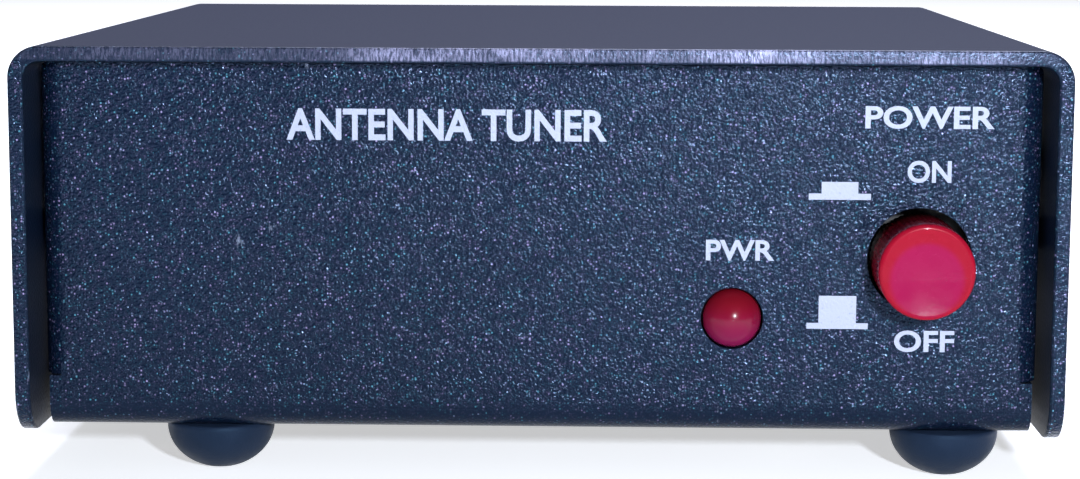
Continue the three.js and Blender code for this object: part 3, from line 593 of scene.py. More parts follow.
HOLE_Z = BUTTON.z + BUTTON_DROP
words("ANTENNA TUNER", "marking_name", (-8.4, HOLE_Z + 12.0), 29.0, 2.9)
words("POWER", "marking_power", (BUTTON.x + 0.63, HOLE_Z + 12.94), 11.6, 2.06)
words("ON", "marking_on", (BUTTON.x + 0.7, HOLE_Z + 8.04), 3.95, 2.02)
words("OFF", "marking_off", (BUTTON.x + 0.58, HOLE_Z - 7.47), 5.45, 2.0)
words("PWR", "marking_lamp", (LAMP.x + 0.66, LAMP.z + 6.27), 6.2, 1.9)
state_picture("picture_pressed", (BUTTON.x - 7.32, HOLE_Z + 6.01), (5.62, 0.56), (3.3, 1.06))
state_picture("picture_released", (BUTTON.x - 7.34, HOLE_Z - 5.84), (5.56, 0.54), (3.4, 2.5))
words("RADIO", "marking_radio", (SOCKETS[0].x, SOCKETS[0].z - 14.6), 8.4, 1.8, "rear")
words("ANTENNA", "marking_antenna", (SOCKETS[1].x, SOCKETS[1].z - 14.6), 12.4, 1.8, "rear")
words("12V DC", "marking_supply", (JACK.x, JACK.z - 7.2), 8.4, 1.6, "rear")
words("GND", "marking_ground", (POST.x, POST.z + 5.6), 4.6, 1.4, "rear")

# ---- Feet ----
# Four soft black rubber domes, moulded with a thin rim, stuck to the tray's underside by hand.


def turned(profile, axis="z", centre=(0, 0, 0), sides=64, groove=None, grooved=0.0):
    """A turned shape from [radius, place] pairs; it starts and ends on the axis, or its profile closes."""
    if profile[0][0] > 0:
        profile = [*profile, profile[0]]
    points, faces = [], []
    for radius, place in profile:
        for k in range(sides):
            angle = 2 * math.pi * k / sides
            out = radius - (groove(angle, place) if groove and radius == grooved else 0)
            here = stood(axis, out * math.cos(angle), out * math.sin(angle), place)
            points.append([a + b for a, b in zip(here, centre)])
    for row in range(len(profile) - 1):
        for k in range(sides):
            a, b = row * sides + k, row * sides + (k + 1) % sides
            faces.append((a, b, b + sides, a + sides))
    return thing("turned", points, faces)


def rubber():
    paint = Paint("foot_rubber", Specular_IOR_Level=0.14, Specular_Tint=(0.35, 0.65, 1.0, 1))
    haze = paint.noise(2.5, 4, 0.6)
    colour = paint.blend(haze, (0.005, 0.010, 0.022), (0.012, 0.020, 0.040))
    return paint.done(colour, paint.ranging(haze, 0.42, 0.62), paint.bump(paint.noise(0.25, 3), 0.02))


foot_rubber = rubber()


def foot(name):
    low, high = sized(name)
    radius, height, tread, rim = (high.x - low.x) / 2, high.z, 1.6, 0.5
    lowest = math.asin(tread / radius)
    drop = (height - rim) / math.cos(lowest)
    dome = [(radius * math.sin(t), drop * (math.cos(lowest) - math.cos(t))) for t in
        [lowest + (math.pi / 2 - lowest) * k / 20 for k in range(21)]]
    top, ease, centre = height - 0.02, 0.15, (low + high) / 2
    profile = [(0, 0.12), (tread - 0.5, 0.1), (tread - ease, 0.0), *dome, (radius, height - ease),
        (radius - ease, top), (0, top)]
    finished(turned(profile, "z", (centre.x, centre.y, 0)), name.replace("foot", "rubber_foot"), [foot_rubber],
        stands_for=[name], smooth=50)


for corner in CORNERS:
    foot(f"foot_{corner}")

# ---- Power button ----
# A round glossy red cap, moulded with a shallow dish and fine grip ribs, pressed on the square
# white shaft of the push-push switch behind the panel.


def red_plastic():
    paint = Paint("button_plastic", Specular_IOR_Level=0.05, Coat_Weight=0.04, Coat_Roughness=0.05)
    swirl = paint.noise(1.8, 3, 0.5)
    scuff = paint.part_of(paint.noise(0.5, 5, 0.75, paint.stretched(1, 1, 3)), 0.62, 0.70)
    body = paint.blend(swirl, (0.20, 0.002, 0.037), (0.225, 0.003, 0.043))
    # Painted shade: the dish's sloping rim, wider at the top, is painted redder than the face, for how it is lit.
    across = paint.node("ShaderNodeVectorMath", {"operation": "DISTANCE"}, {0: paint.stretched(1, 0, 1),
        1: (BUTTON.x * MM, 0, (BUTTON.z - 0.7) * MM)}, "Value") / MM
    body = paint.blend(paint.part_of(across, 2.9, 3.6), body, (0.215, 0.003, 0.014))
    front = sized("power_button_cap")[0].y
    y = paint.along("Y")
    # Painted highlights: pale specks on the ribbed side just behind the face, where the lamp glints off the ribs.
    wear_and_glints = paint.part_of(y, front + 0.40, front + 0.55) * paint.part_of(y, front + 1.9, front + 0.7)
    wear_and_glints = wear_and_glints * paint.part_of(paint.noise(0.28, 3, 0.6), 0.45, 0.62)
    body = paint.blend(wear_and_glints, body, (0.50, 0.36, 0.48))
    colour = paint.blend(scuff * 0.2, body, (0.40, 0.09, 0.16))
    roughness = paint.ranging(swirl, 0.22, 0.34) + scuff * 0.15
    return paint.done(colour, roughness, paint.bump(paint.noise(0.9, 2), 0.012))


def button_cap():
    low, high = sized("power_button_cap")
    front, back, radius = low.y, high.y, (high.x - low.x) / 2
    sides, ribs, rib_depth, dip, round_off, bore = 240, 60, 0.06, 0.34, 0.42, 2.35
    dish = [(radius * 0.905 * k / 12, front + dip * (1 - (k / 12) ** 2)) for k in range(13)]
    lip = [(radius - round_off + round_off * math.sin(t), front + round_off - round_off * math.cos(t))
        for t in quarter(8)]
    rows = [*dish, *lip, (radius, front + 0.6), (radius, front + 0.8), (radius, back - 0.3), (radius - 0.2, back),
        (0, back)]

    def rib(angle, y):
        step = round(angle / (2 * math.pi) * sides)
        return rib_depth if y > front + 0.7 and step % (sides // ribs) < 2 else 0

    cap = turned(rows, "y", (BUTTON.x, 0, BUTTON.z), sides, groove=rib, grooved=radius)
    near, far = (BUTTON.x - bore, front + 2.2, BUTTON.z - bore), (BUTTON.x + bore, back + 1, BUTTON.z + bore)
    tooled(cap, "DIFFERENCE", block(near, far))
    finished(cap, "button_cap", [red_plastic()], "button", ["power_button_cap"], smooth=35)


button_cap()

# ---- Power lamp ----
# A 5 mm light-emitting diode: a moulded red epoxy dome over its lead frame, standing through the
# panel on its own two leads.


def red_epoxy():
    paint = Paint("lamp_epoxy", Specular_IOR_Level=0.12, Coat_Weight=0.06, Coat_Roughness=0.03)
    # Painted reflection: the dome's lower part is painted pinker, with the white floor reflected in it; towards the
    # top it deepens to plain red.
    depth = paint.part_of(paint.along("Z") - LAMP.z, -2.5, 2.0)
    cloud = paint.noise(1.2, 3, 0.5)
    low = paint.blend(cloud, (0.13, 0.003, 0.036), (0.15, 0.004, 0.044))
    colour = paint.blend(depth, low, (0.135, 0.003, 0.009))
    return paint.done(colour, paint.ranging(cloud, 0.16, 0.26), paint.bump(paint.noise(1.4, 2), 0.01))


def lamp_lens():
    low, high = sized("lamp_lens")
    flange = (high.x - low.x) / 2
    radius, tip, back = flange - 0.3, low.y, high.y
    dome = [(radius * math.sin(t), tip + radius * (1 - math.cos(t))) for t in quarter(24)]
    profile = [*dome, (radius, back - 1.1), (radius + 0.08, back - 1.02), (flange, back - 1), (flange, back - 0.1),
        (flange - 0.1, back), (0, back)]
    lens = turned(profile, "y", (LAMP.x, 0, LAMP.z), 80)
    finished(lens, "lamp_dome", [red_epoxy()], stands_for=["lamp_lens"], smooth=45)


lamp_lens()

# ---- Cover screws ----
# Four nickel-plated pan-head machine screws, two a side, with cross recesses, driven home by hand,
# so each stops at its own angle.


def nickel_plate(name="nickel_plate", tone=(0.60, 0.58, 0.54), dull=0.30):
    """Bright plating with fine handling scratches and a faint darker bloom."""
    paint = Paint(name, Metallic=1.0)
    bloom = paint.noise(2.2, 4, 0.6)
    scratch = paint.part_of(paint.noise(0.28, 3, 0.7, paint.stretched(1, 0.12, 1)), 0.58, 0.66)
    colour = paint.blend(paint.part_of(bloom, 0.35, 0.7), tone, [c * 0.72 for c in tone])
    colour = paint.blend(scratch * 0.4, colour, [min(1, c * 1.25) for c in tone])
    roughness = paint.ranging(bloom, dull - 0.06, dull + 0.12) + scratch * 0.1
    return paint.done(colour, roughness, paint.bump(scratch, 0.008, paint.bump(bloom, 0.02)))


def set_in_place_tree():
    """A tree that sets one made piece at every point, faced along the point's way and turned at random."""
    tree = Tree(bpy.data.node_groups.new("set in place", "GeometryNodeTree"))
    tree.asks(Places="Geometry", Piece="Object", Turn="Float", Seed="Int", Material="Material")
    facing = tree.node("GeometryNodeInputNamedAttribute", {"data_type": "FLOAT_VECTOR"}, {"Name": "facing"})
    faced = tree.node("FunctionNodeAlignRotationToVector", {"axis": "Z"}, {"Vector": facing})
    angle = tree.node("FunctionNodeRandomValue", {"data_type": "FLOAT"},
        {2: 0.0, 3: tree.given("Turn"), "Seed": tree.given("Seed")}, 1)
    spin = tree.node("FunctionNodeAxisAngleToRotation", {}, {"Axis": (0, 0, 1), "Angle": angle})
    turned_so = tree.node("FunctionNodeRotateRotation", {"rotation_space": "LOCAL"},
        {"Rotation": faced, "Rotate By": spin})
    piece = tree.node("GeometryNodeObjectInfo", {}, {"Object": tree.given("Piece")}, "Geometry")
    spots = tree.node("GeometryNodeMeshToPoints", {}, {"Mesh": tree.given("Places")})
    pieces = tree.node("GeometryNodeInstanceOnPoints", {},
        {"Points": spots, "Instance": piece, "Rotation": turned_so})
    tree.gives(tree.node("GeometryNodeRealizeInstances", {}, {"Geometry": pieces}))
    return tree.tree


def grown(name, points, edges, tree, facings=None, **inputs):
    """A plain mesh that a node tree grows from points in millimetres."""
    mesh = bpy.data.meshes.new(name)
    mesh.from_pydata([[value * MM for value in p] for p in points], edges, [])
    if facings:
        facing = mesh.attributes.new("facing", "FLOAT_VECTOR", "POINT")
        facing.data.foreach_set("vector", [value for way in facings for value in way])
    made = placed(name, mesh)
    step = made.modifiers.new("tree", "NODES")
    step.node_group = tree
    for item in tree.interface.items_tree:
        if item.in_out == "INPUT" and item.name in inputs:
            step[item.identifier] = inputs[item.name]
    worked_in(made)
    if "facing" in made.data.attributes:
        made.data.attributes.remove(made.data.attributes["facing"])
    return made


def smoothed(shape, angle=35):
    for face in shape.data.polygons:
        face.use_smooth = True
    shape.data.set_sharp_from_angle(angle=math.radians(angle))
    return shape


def pan_screw(head, height, shank, length, sides=48):
    """A pan-head screw: its head stands above z = 0, its shank below; a cross recess is sunk in it."""
    crown = [(head * math.cos(t), height * (0.42 + 0.58 * math.sin(t))) for t in quarter(10)]
    thread = [(shank - (0.22 if k % 2 else 0), -0.5 - k * 0.25) for k in range(int((length - 0.9) / 0.25))]
    profile = [(0, height), *[(r, z) for r, z in reversed(crown) if r > 0.01], (head, 0.08), (head - 0.08, 0),
        (shank, 0), *thread, (shank - 0.3, -length), (0, -length)]
    screw = turned(profile, "z", (0, 0, 0), sides)
    arm, web, floor_z = head * 0.58, 0.36, height * 0.36
    cross = []
    for wide, deep in ((arm, web), (web, arm)):
        top, low = 1.0, 0.62
        corners = [(sx * wide * k, sy * deep * k, z) for k, z in ((low, floor_z), (top, height + 0.2))
            for sx, sy in ((-1, -1), (1, -1), (1, 1), (-1, 1))]
        faces = [(0, 1, 2, 3), (4, 5, 6, 7), (0, 1, 5, 4), (1, 2, 6, 5), (2, 3, 7, 6), (3, 0, 4, 7)]
        cross.append(thing("arm", corners, faces))
    return smoothed(tooled(screw, "DIFFERENCE", *cross))


nickel = nickel_plate()
set_in_place = set_in_place_tree()


def set_of(name, piece, spots, facings, material, stands_for, turn=0.0, seed=0):
    made = grown(name, spots, [], set_in_place, facings, Piece=piece, Turn=turn, Seed=seed, Material=material)
    NODES.remove(piece)
    return kept(made, name, "case", stands_for)


def cover_screws():
    spots, facings = [], []
    for screw in SCREWS.values():
        way = math.copysign(1, screw.x)
        spots.append((way * (cover_high.x + 0.02), screw.y, screw.z))
        facings.append((way, 0, 0))
    set_of("cover_screws", pan_screw(2.9, 1.76, 1.5, 5.5), spots, facings, nickel,
        [f"cover_screw_{corner}" for corner in CORNERS], turn=math.pi / 2, seed=3)


cover_screws()

# ---- Coaxial sockets ----
# Two standard screw sockets: a die-cast shell with a square flange and a 24-thread barrel, nickel
# plated, a white insulator pressed in, and a silvered brass contact with four sprung fingers.


def threaded(before, radius, start, end, pitch, depth, after, centre, sides):
    """A turned shape along y whose outside carries a screw thread between two places."""
    def cut_at(angle, place):
        """How deep the thread is cut at a place along the shape and an angle round it."""
        phase = (place / pitch - angle / (2 * math.pi)) % 1
        run_out = min(1.0, (place - start) / pitch, (end - place) / pitch)
        return depth * run_out * (1 - abs(2 * phase - 1)) if start <= place <= end else 0.0

    steps = round((end - start) / pitch * 8)
    rows = [(radius, start + (end - start) * k / steps) for k in range(steps + 1)]
    return turned([*before, *rows, *after], "y", centre, sides, groove=cut_at, grooved=radius)


FLANGE = {"side": 25.4, "thickness": 1.6, "offset": 9.1}


def shifted(profile, start):
    """A turning profile measured from a place along its axis."""
    return [(radius, start + place) for radius, place in profile]


def socket_shell(owner):
    low, high = sized(f"{owner}_socket_shell")
    centre = (low + high) / 2
    panel, front, back = tray_high.y, high.y, low.y
    face, offset = panel + FLANGE["thickness"], FLANGE["offset"]
    bore, barrel, body = 6.0, 7.9, 7.6
    spot = (centre.x, 0, centre.z)
    shell = threaded([(bore, back), (body, back), (body, panel + 1), (7.4, face - 0.1), (7.4, face + 0.9)], barrel,
        face + 1.3, front - 0.6, 25.4 / 24, 0.55,
        [(barrel - 0.55, front), (bore + 0.25, front), (bore, front - 0.3)], spot, 96)
    plate = prism(round_corners(FLANGE["side"], FLANGE["side"], 1.5, (centre.x, centre.z)), "y", panel, face)
    holes = [drum(HOLES["rivet"], "y", (centre.x + i * offset, centre.z + k * offset), panel - 1, face + 1, 32)
        for i in (-1, 1) for k in (-1, 1)]
    tooled(plate, "DIFFERENCE", drum(bore + 0.5, "y", (centre.x, centre.z), panel - 1, face + 1, 64), *holes)
    bevelled(plate, 0.22, 3)
    worked_in(plate)
    tooled(shell, "UNION", plate)
    notches = []
    for k in range(4):
        notch = block((-0.65, front - 0.8, 6.0), (0.65, front + 1, 9.5))
        turn = Matrix.Rotation(math.radians(45 + 90 * k), 4, "Y")
        notch.data.transform(Matrix.Translation(Vector(spot) * MM) @ turn)
        notches.append(notch)
    tooled(shell, "DIFFERENCE", *notches)
    finished(shell, f"{owner}_socket", [nickel], stands_for=[f"{owner}_socket_shell"], smooth=40)


def insulating_plastic():
    paint = Paint("socket_insulator", Specular_IOR_Level=0.4, Subsurface_Weight=0.1,
        Subsurface_Radius=(0.001, 0.0008, 0.0006))
    cloud = paint.noise(1.5, 4, 0.6)
    grime = paint.part_of(paint.noise(0.6, 5, 0.7), 0.62, 0.75)
    white = paint.blend(cloud, (0.78, 0.75, 0.67), (0.70, 0.66, 0.57))
    colour = paint.blend(grime * 0.5, white, (0.36, 0.32, 0.26))
    return paint.done(colour, paint.ranging(cloud, 0.38, 0.52), paint.bump(cloud, 0.02))


def brass_metal():
    paint = Paint("brass", Metallic=1.0)
    tarnish = paint.noise(1.6, 5, 0.65)
    line = paint.noise(0.12, 2, 0.5, paint.stretched(0.15, 1, 0.15))
    colour = paint.blend(paint.part_of(tarnish, 0.35, 0.7), (0.78, 0.57, 0.25), (0.50, 0.33, 0.13))
    return paint.done(colour, paint.ranging(tarnish, 0.22, 0.42) + line * 0.08, paint.bump(line, 0.01))


white_insulator = insulating_plastic()
brass = brass_metal()
silvered = nickel_plate("silvered_brass", (0.74, 0.70, 0.60), 0.24)


def socket_inside(owner):
    low, high = sized(f"{owner}_socket_insulator")
    centre = ((low.x + high.x) / 2, 0, (low.z + high.z) / 2)
    bore, outer, face = 2.8, (high.x - low.x) / 2, high.y
    lip = [(outer, -1.0), (outer - 0.15, -0.85), (outer - 1.0, -0.85), (outer - 1.15, -0.7), (outer - 1.15, -0.1),
        (outer - 1.3, 0), (bore + 0.9, 0), (bore + 0.8, -0.15), (bore, -0.2)]
    ring = turned([(bore, low.y), (outer, low.y), *shifted(lip, face)], "y", centre, 72)
    finished(ring, f"{owner}_insulator", [white_insulator],
        stands_for=[f"{owner}_socket_insulator"])

    low, high = sized(f"{owner}_socket_contact")
    front, cup = high.y, low.y
    fingers = [(0, -12), (2.05, -11.4), (2.05, -0.3), (2.2, 0), (2.6, 0), (2.75, -0.15)]
    tail = [(2.75, 6), (1.7, 6), (1.7, 0), (1.15, 0), (1.15, 4), (0, 4)]
    contact = turned([*shifted(fingers, front), *shifted(tail, cup)], "y", centre, 48)
    slits = [block((centre[0] - w, front - 7.5, centre[2] - h), (centre[0] + w, front + 1, centre[2] + h))
        for w, h in ((0.25, 3.4), (3.4, 0.25))]
    tooled(contact, "DIFFERENCE", *slits)
    finished(contact, f"{owner}_contact", [silvered], stands_for=[f"{owner}_socket_contact"])


for owner in OWNERS:
    socket_shell(owner)
    socket_inside(owner)

# ---- Flange rivets ----
# Four zinc-plated blind rivets hold the flanges: a domed head with the pulled mandrel's pit outside,
# a spread tail inside the panel.


def zinc_steel():
    paint = Paint("zinc_steel", Metallic=1.0)
    bloom = paint.noise(1.1, 4, 0.65)
    colour = paint.blend(bloom, (0.50, 0.50, 0.52), (0.66, 0.66, 0.66))
    return paint.done(colour, paint.ranging(bloom, 0.28, 0.48), paint.bump(paint.noise(0.3, 3), 0.012))


steel = zinc_steel()


def rivets():
    low, high = sized("radio_socket_rivet_high")
    outside = tray_high.y + FLANGE["thickness"] + 0.05
    inside = low.y - outside
    head, shank = (high.x - low.x) / 2, 1.5
    dome = [(head * math.cos(t), 0.2 + 0.65 * math.sin(t))
        for t in [math.radians(5 + 62 * k / 8) for k in range(9)]]
    tail = shifted([(0, 0), (1.0, 0), (1.7, 0.2), (2.1, 1.3), (2.1, 1.39), (shank, 1.4)], inside)
    profile = [*tail, (shank, 0), (head - 0.1, 0), (head, 0.1), *dome, (0.78, 0.80), (0.72, 0.45), (0.6, 0.40),
        (0, 0.44)]
    rivet = smoothed(turned(profile, "z", (0, 0, 0), 40))
    spots = [(r.x, outside, r.z) for r in RIVETS]
    set_of("flange_rivets", rivet, spots, [(0, 1, 0)] * 4, steel, RIVET_NAMES, turn=6.28, seed=5)


rivets()

# ---- Power jack ----
# A black moulded barrel jack for a 5.5 mm plug, its threaded neck through the panel, with a plated
# centre pin and a thin hexagon nut.


def black_moulding():
    paint = Paint("black_moulding", Specular_IOR_Level=0.5)
    haze = paint.noise(1.4, 4, 0.6)
    colour = paint.blend(haze, (0.010, 0.010, 0.011), (0.028, 0.028, 0.031))
    return paint.done(colour, paint.ranging(haze, 0.35, 0.55), paint.bump(paint.noise(0.22, 2), 0.012))


black_plastic = black_moulding()


def hex_nut(name, across, bore, node):
    """A nickel-plated hexagon nut about an axis along y, both faces chamfered."""
    low, high = [corner.y for corner in sized(node)]
    centre, corner, ease = middle(node), across / 2 / math.cos(math.pi / 6), 0.32
    spot = (centre.x, 0, centre.z)
    hexagon = drum(corner, "y", (centre.x, centre.z), low, high, 6)
    flat = across / 2 * 0.97
    rim = corner + 0.1
    cone = [(0, low), (flat, low), (rim, low + ease), (rim, high - ease), (flat, high), (0, high)]
    tooled(hexagon, "INTERSECT", turned(cone, "y", spot, 96))
    wide = bore + 0.25
    hole = turned([(0, low - 1), (wide, low - 1), (wide, low), (bore, low + 0.25), (bore, high - 0.25), (wide, high),
        (wide, high + 1), (0, high + 1)], "y", spot, 64)
    tooled(hexagon, "DIFFERENCE", hole)
    finished(hexagon, name, [nickel], stands_for=[node], edge=0.06, smooth=28)


def power_jack():
    low, high = sized("power_jack_body")
    spot, z = (JACK.x, 0, JACK.z), JACK.z
    panel, front, inner, back = tray_high.y, high.y, tray_high.y - SHEET, low.y + 3.0
    body = threaded([(1.15, back), (5.3, back), (5.3, inner - 0.05), (3.9, inner - 0.05)], 4.0, panel + 0.1,
        front - 0.4, 0.75, 0.28, [(3.55, front), (3.05, front), (2.85, front - 0.2), (2.85, front - 9.5),
        (1.15, front - 9.5)], spot, 72)
    tag = block((JACK.x - 1.1, low.y, z + 3.7), (JACK.x + 1.1, back + 1, z + 4.2))
    tooled(body, "UNION", tag)
    finished(body, "jack_body", [black_plastic], stands_for=["power_jack_body"])

    low, high = sized("power_jack_pin")
    pin = turned([(0, low.y), (1.05, low.y), (1.05, high.y - 0.8), (0.98, high.y - 0.45), (0.75, high.y - 0.15),
        (0.4, high.y - 0.03), (0, high.y)], "y", spot, 40)
    finished(pin, "jack_pin", [nickel], stands_for=["power_jack_pin"], smooth=50)
    hex_nut("jack_nut", 10, 4.05, "power_jack_nut")


power_jack()

# ---- Ground post ----
# A brass machine screw put through from inside and locked with a plated nut; a cast wing nut on its
# thread clamps the ground wire. The wing nut stands backed off, ready for a wire's ring.


def ground_post():
    low, high = sized("ground_post_screw")
    spot = (POST.x, 0, POST.z)
    inner, end, r = tray_high.y - SHEET - 0.05, high.y, 1.95
    head = shifted([(0, -2.4), (2.6, -2.4), (3.2, -2.2), (3.6, -1.6), (3.6, 0), (1.9, 0)], inner)
    screw = threaded(head, r, inner + 0.2, end - 0.35, 0.7, 0.30, [(r - 0.5, end), (0, end)], spot, 48)
    finished(screw, "post_screw", [brass], stands_for=["ground_post_screw"], smooth=45)
    hex_nut("post_nut", 7, 2.01, "ground_post_nut")


def wing_nut():
    low, high = sized("ground_wing_nut")
    near, x, z = low.y, POST.x, POST.z
    cone = [(0, 0), (3.7, 0), (4.0, 0.25), (4.0, 1.0), (3.75, 1.5), (3.1, 4.8), (2.9, 5.0), (0, 5.0)]
    nut = turned(shifted(cone, near), "y", (x, 0, z), 64)
    wing = [(1.9, 0.5), (3.4, 0.62), (4.6, 1.0), (8.1, 4.6), *arc((7.1, 6.2), 1.85, -55, 144, 18), (4.6, 5.6),
        (3.2, 4.4), (1.9, 4.2)]
    for way in (-1, 1):
        blade = prism([(x + way * u, near + v) for u, v in wing], "z", z - 0.75, z + 0.75)
        bevelled(blade, 0.3, 4)
        worked_in(blade)
        tooled(nut, "UNION", blade)
    bore = [(0, -1), (2.3, -1), (2.3, 0), (2.01, 0.3), (2.01, 4.7), (2.3, 5), (2.3, 6), (0, 6)]
    tooled(nut, "DIFFERENCE", turned(shifted(bore, near), "y", (x, 0, z), 48))
    cast = nickel_plate("cast_wing_plate", (0.56, 0.55, 0.52), 0.36)
    finished(nut, "wing_nut", [cast], "wing_nut", ["ground_wing_nut"], edge=0.08, smooth=34)


ground_post()
wing_nut()

# ---- Inside: what the pieces behind the panel share ----
# Drawn wires, sheathed leads and small moulded or stamped pieces. A piece that is plain in the real
# thing keeps its shape and takes a finish of its own.


def painted(material, *nodes):
    """Gives the object's own pieces a finish."""
    for node in nodes:
        for place in NODES[node].material_slots:
            place.material = material


def mixed(name, first, second, size, rough, bump=0.015, **constants):
    """A finish clouded between two colours, with a fine surface grain."""
    paint = Paint(name, **constants)
    cloud = paint.noise(size, 4, 0.62)
    colour = paint.blend(paint.part_of(cloud, 0.32, 0.68), first, second)
    return paint.done(colour, paint.ranging(cloud, *rough), paint.bump(paint.noise(0.2, 3), bump))


def wire_tree():
    """A tree that draws a round wire, its ends closed, along a chain of points."""
    tree = Tree(bpy.data.node_groups.new("wire", "GeometryNodeTree"))
    tree.asks(Path="Geometry", Radius="Float", Material="Material")
    path = tree.node("GeometryNodeMeshToCurve", {}, {"Mesh": tree.given("Path")})
    section = tree.node("GeometryNodeCurvePrimitiveCircle", {}, {"Resolution": 12, "Radius": tree.given("Radius")})
    drawn = tree.node("GeometryNodeCurveToMesh", {}, {"Curve": path, "Profile Curve": section, "Fill Caps": True})
    tree.gives(tree.node("GeometryNodeRealizeInstances", {}, {"Geometry": drawn}))
    return tree.tree


wire = wire_tree()


def drawn_wire(name, points, radius, material, stands_for):
    edges = [(k, k + 1) for k in range(len(points) - 1)]
    made = grown(name, points, edges, wire, Radius=radius * MM, Material=material)
    return kept(smoothed(made, 50), name, "case", stands_for)


# ---- Push-push switch ----
# A moulded housing on a phenolic base with six tinned terminals. A white acetal slider carries the
# cap; a steel coil spring returns it and a bent pin holds it in.


def phenolic():
    """Brown laminate above the board; the terminals below it are tinned."""
    paint = Paint("terminal_base")
    fibre = paint.noise(0.5, 4, 0.7, paint.stretched(1, 0.2, 1))
    board = middle("circuit_board").z
    tinned = paint.part_of(paint.along("Z"), board + 0.9, board + 0.8)
    laminate = paint.blend(fibre, (0.13, 0.055, 0.020), (0.22, 0.10, 0.042))
    colour = paint.blend(tinned, laminate, (0.62, 0.61, 0.58))
    return paint.done(colour, paint.ranging(fibre, 0.35, 0.5), paint.bump(fibre, 0.02), tinned)


acetal = mixed("slider_acetal", (0.76, 0.75, 0.70), (0.66, 0.64, 0.57), 1.6, (0.34, 0.48), Specular_IOR_Level=0.45)
painted(black_plastic, "switch_housing", "relay_base")
painted(phenolic(), "switch_terminal_base")
painted(acetal, "switch_plunger", "balance_trimmer_rotor")
painted(brass, "switch_contact_bridge")
painted(steel, "switch_latch_pin", "relay_yoke", "relay_armature")


def return_spring():
    low, high = sized("switch_return_spring")
    gauge, turns, count = 0.22, 4.5, 200
    centre, coil = (low + high) / 2, (high.x - low.x) / 2 - gauge
    points = []
    for k in range(count + 1):
        share, angle = k / count, 2 * math.pi * turns * k / count
        y = low.y + gauge + (high.y - low.y - 2 * gauge) * share
        points.append((centre.x + coil * math.cos(angle), y, centre.z + coil * math.sin(angle)))
    spring = drawn_wire("return_spring", points, gauge, steel, ["switch_return_spring"])
    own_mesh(spring)


return_spring()

# ---- Lamp leads, board fixings ----
# The lamp's two tinned legs, the four hexagon standoffs pressed into the tray, and the nickel-plated
# screws that hold the board down on them.

painted(nickel, "lamp_anode_lead", "lamp_cathode_lead", *[f"standoff_{corner}" for corner in CORNERS])


def board_screws():
    names = [f"board_screw_{corner}" for corner in CORNERS]
    level = sized("circuit_board")[1].z + 0.05
    spots = [(middle(name).x, middle(name).y, level) for name in names]
    set_of("board_screws", pan_screw(2.7, 1.66, 1.45, 4.95), spots, [(0, 0, 1)] * 4, nickel,
        names, turn=math.pi / 2, seed=11)


board_screws()

# ---- Relay ----
# A coil of enamelled wire on a steel core and yoke; the armature tips at the yoke's edge. A smoky
# blue dust cover snaps over it.


def coil_of_wire():
    paint = Paint("enamelled_coil", Metallic=0.85)
    # Painted shade: each turn is painted pale copper along its crest and dark brown in the groove beside the next
    # turn, on top of its bump.
    turn = paint.part_of(paint.noise(0.16, 0, 0.5, paint.stretched(0.02, 0.02, 1)), 0.42, 0.58)
    colour = paint.blend(turn, (0.20, 0.055, 0.022), (0.62, 0.26, 0.12))
    return paint.done(colour, paint.ranging(paint.noise(1.2, 3), 0.26, 0.42), paint.bump(turn, 0.05))


painted(coil_of_wire(), "relay_coil")
blue_moulding = mixed("blue_moulding", (0.022, 0.055, 0.24), (0.034, 0.080, 0.31), 2.4, (0.16, 0.30), 0.01,
    Specular_IOR_Level=0.5, Coat_Weight=0.3, Coat_Roughness=0.15)
painted(blue_moulding, "relay_cover", "balance_trimmer_body")

# ---- Bridge transformer ----
# A sintered ferrite ring wound with eight turns of enamelled copper wire, whose two ends go down
# through the board.

enamel = mixed("copper_enamel", (0.66, 0.25, 0.10), (0.48, 0.15, 0.055), 1.4, (0.20, 0.34), 0.008, Metallic=0.9)
ferrite = mixed("sintered_ferrite", (0.030, 0.028, 0.027), (0.060, 0.055, 0.052), 0.8, (0.6, 0.85), 0.04)
painted(ferrite, "transformer_core")


def winding():
    core_low, core_high = sized("transformer_core")
    board_low, board_high = sized("circuit_board")
    centre = (core_low + core_high) / 2
    outer, inner, gauge, turns, count = (core_high.x - core_low.x) / 2, 3.9, 0.35, 8, 480
    across, reach = (outer + inner) / 2, (outer - inner) / 2 + gauge + 0.6
    rise = (core_high.z - core_low.z) / 2 + gauge + 0.6
    below, above = board_low.z - 0.7, board_high.z + 1.4
    ends = [(centre.x + aside, centre.y - 8.5) for aside in (-2.5, 2.5)]

    def squared(value):
        return math.copysign(abs(value) ** 0.45, value)

    points = [(*ends[0], below), (*ends[0], above)]
    for k in range(count + 1):
        loop, round_by = 2 * math.pi * turns * k / count, math.radians(-75 - 330 * k / count)
        r = across + reach * squared(math.cos(loop))
        points.append((centre.x + r * math.cos(round_by), centre.y + r * math.sin(round_by),
            centre.z + rise * squared(math.sin(loop))))
    points += [(*ends[1], above), (*ends[1], below)]
    drawn_wire("winding", points, gauge, enamel, ["transformer_winding"])


winding()

# ---- Smoothing capacitor ----
# An aluminium can in a blue shrink sleeve that leaves its scored top bare, crimped over its seal,
# on two tinned leads.


def sleeve():
    paint = Paint("capacitor_sleeve")
    x, y, z = [paint.along(axis) - at for axis, at in zip("XYZ", (*middle("smoothing_capacitor").xy, 0.0))]
    crown, board = sized("smoothing_capacitor")[1].z, sized("circuit_board")[1].z
    top = paint.part_of(z, crown - 0.16, crown - 0.08)
    inside = paint.part_of((x * x + y * y) ** 0.5, 3.2, 3.15)
    leads = paint.part_of(z, board + 0.08, board)
    metal = leads.maths("MAXIMUM", leads, inside * top)
    stripe = paint.part_of(x, -2.6, -2.75) * 0.8
    blue = paint.blend(paint.noise(2, 3), (0.020, 0.040, 0.20), (0.034, 0.060, 0.26))
    colour = paint.blend(metal, paint.blend(stripe, blue, (0.55, 0.58, 0.64)), (0.72, 0.72, 0.71))
    roughness = paint.ranging(paint.noise(0.8, 3), 0.22, 0.36)
    return paint.done(colour, roughness, paint.bump(paint.noise(0.5, 3), 0.012), metal)


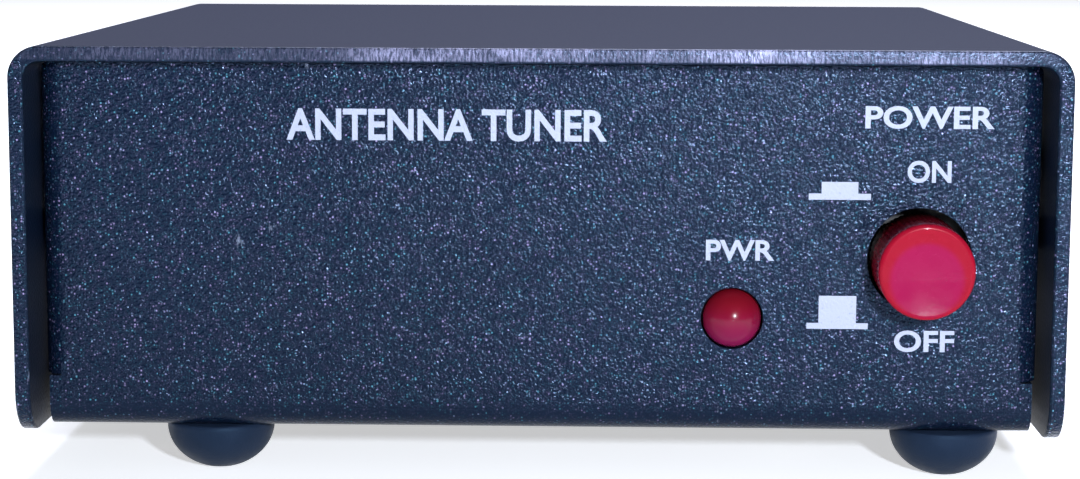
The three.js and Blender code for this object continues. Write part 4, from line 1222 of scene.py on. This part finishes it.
def capacitor():
    low, high = sized("smoothing_capacitor")
    centre, r, top = (low + high) / 2, (high.x - low.x) / 2, high.z
    foot_z = sized("circuit_board")[1].z + 0.1
    crimp = [(r - 0.35 * math.exp(-((z - 1.7) / 0.28) ** 2), z) for z in [0.5 + 0.1 * k for k in range(25)]]
    shoulder = arc((r - 0.6, top - 0.6), 0.6, 0, 90, 8)
    wall = shifted([(0, 0), (r - 0.4, 0), (r - 0.1, 0.2), *crimp], foot_z)
    lid = shifted([(r - 0.8, -0.05), (r - 0.85, -0.12), (0, -0.12)], top)
    can = turned([*wall, *shoulder, *lid], "z", (centre.x, centre.y, 0), 72)
    legs = [block((centre.x + x - 0.3, centre.y - 0.3, low.z), (centre.x + x + 0.3, centre.y + 0.3, foot_z + 0.5))
        for x in (-1.75, 1.75)]
    tooled(can, "UNION", *legs)
    scores = [block((centre.x - w, centre.y - d, top - 0.2), (centre.x + w, centre.y + d, top + 1))
        for w, d in ((2.4, 0.07), (0.07, 2.4))]
    tooled(can, "DIFFERENCE", *scores)
    finished(can, "capacitor", [sleeve()], stands_for=["smoothing_capacitor"], smooth=40)


capacitor()

# ---- Leads and circuit board ----
# Stranded leads in red and black vinyl run down from the rear sockets and the jack. The board is
# glass-epoxy under green solder mask, its tracks showing as paler lines.

vinyl = {"Specular_IOR_Level": 0.45}
painted(mixed("red_vinyl", (0.42, 0.012, 0.014), (0.52, 0.022, 0.022), 2.2, (0.32, 0.48), **vinyl),
    "radio_lead", "power_lead_positive")
painted(mixed("black_vinyl", (0.008, 0.008, 0.009), (0.018, 0.018, 0.020), 2.2, (0.34, 0.50), **vinyl),
    "antenna_lead", "power_lead_negative")


def solder_mask():
    paint = Paint("solder_mask", Specular_IOR_Level=0.5)
    cell = paint.node("ShaderNodeTexVoronoi", {"distance": "CHEBYCHEV", "feature": "F1"},
        {"Vector": paint.place, "Scale": 1 / (5.5 * MM)})
    track = paint.part_of(cell, 0.40, 0.42) * paint.part_of(cell, 0.50, 0.48)
    warp, weft = [paint.noise(0.4, 2, 0.5, paint.stretched(x, y, 1)) for x, y in ((1, 0.2), (0.2, 1))]
    weave = warp + weft
    green = paint.blend(paint.noise(14, 3), (0.014, 0.10, 0.040), (0.022, 0.14, 0.058))
    colour, normal = paint.blend(track, green, (0.05, 0.26, 0.10)), paint.bump(weave, 0.008)
    return paint.done(colour, paint.part_of(weave, 0.6, 1.4, 0.24, 0.36), paint.bump(track, 0.035, normal))


painted(solder_mask(), "circuit_board")
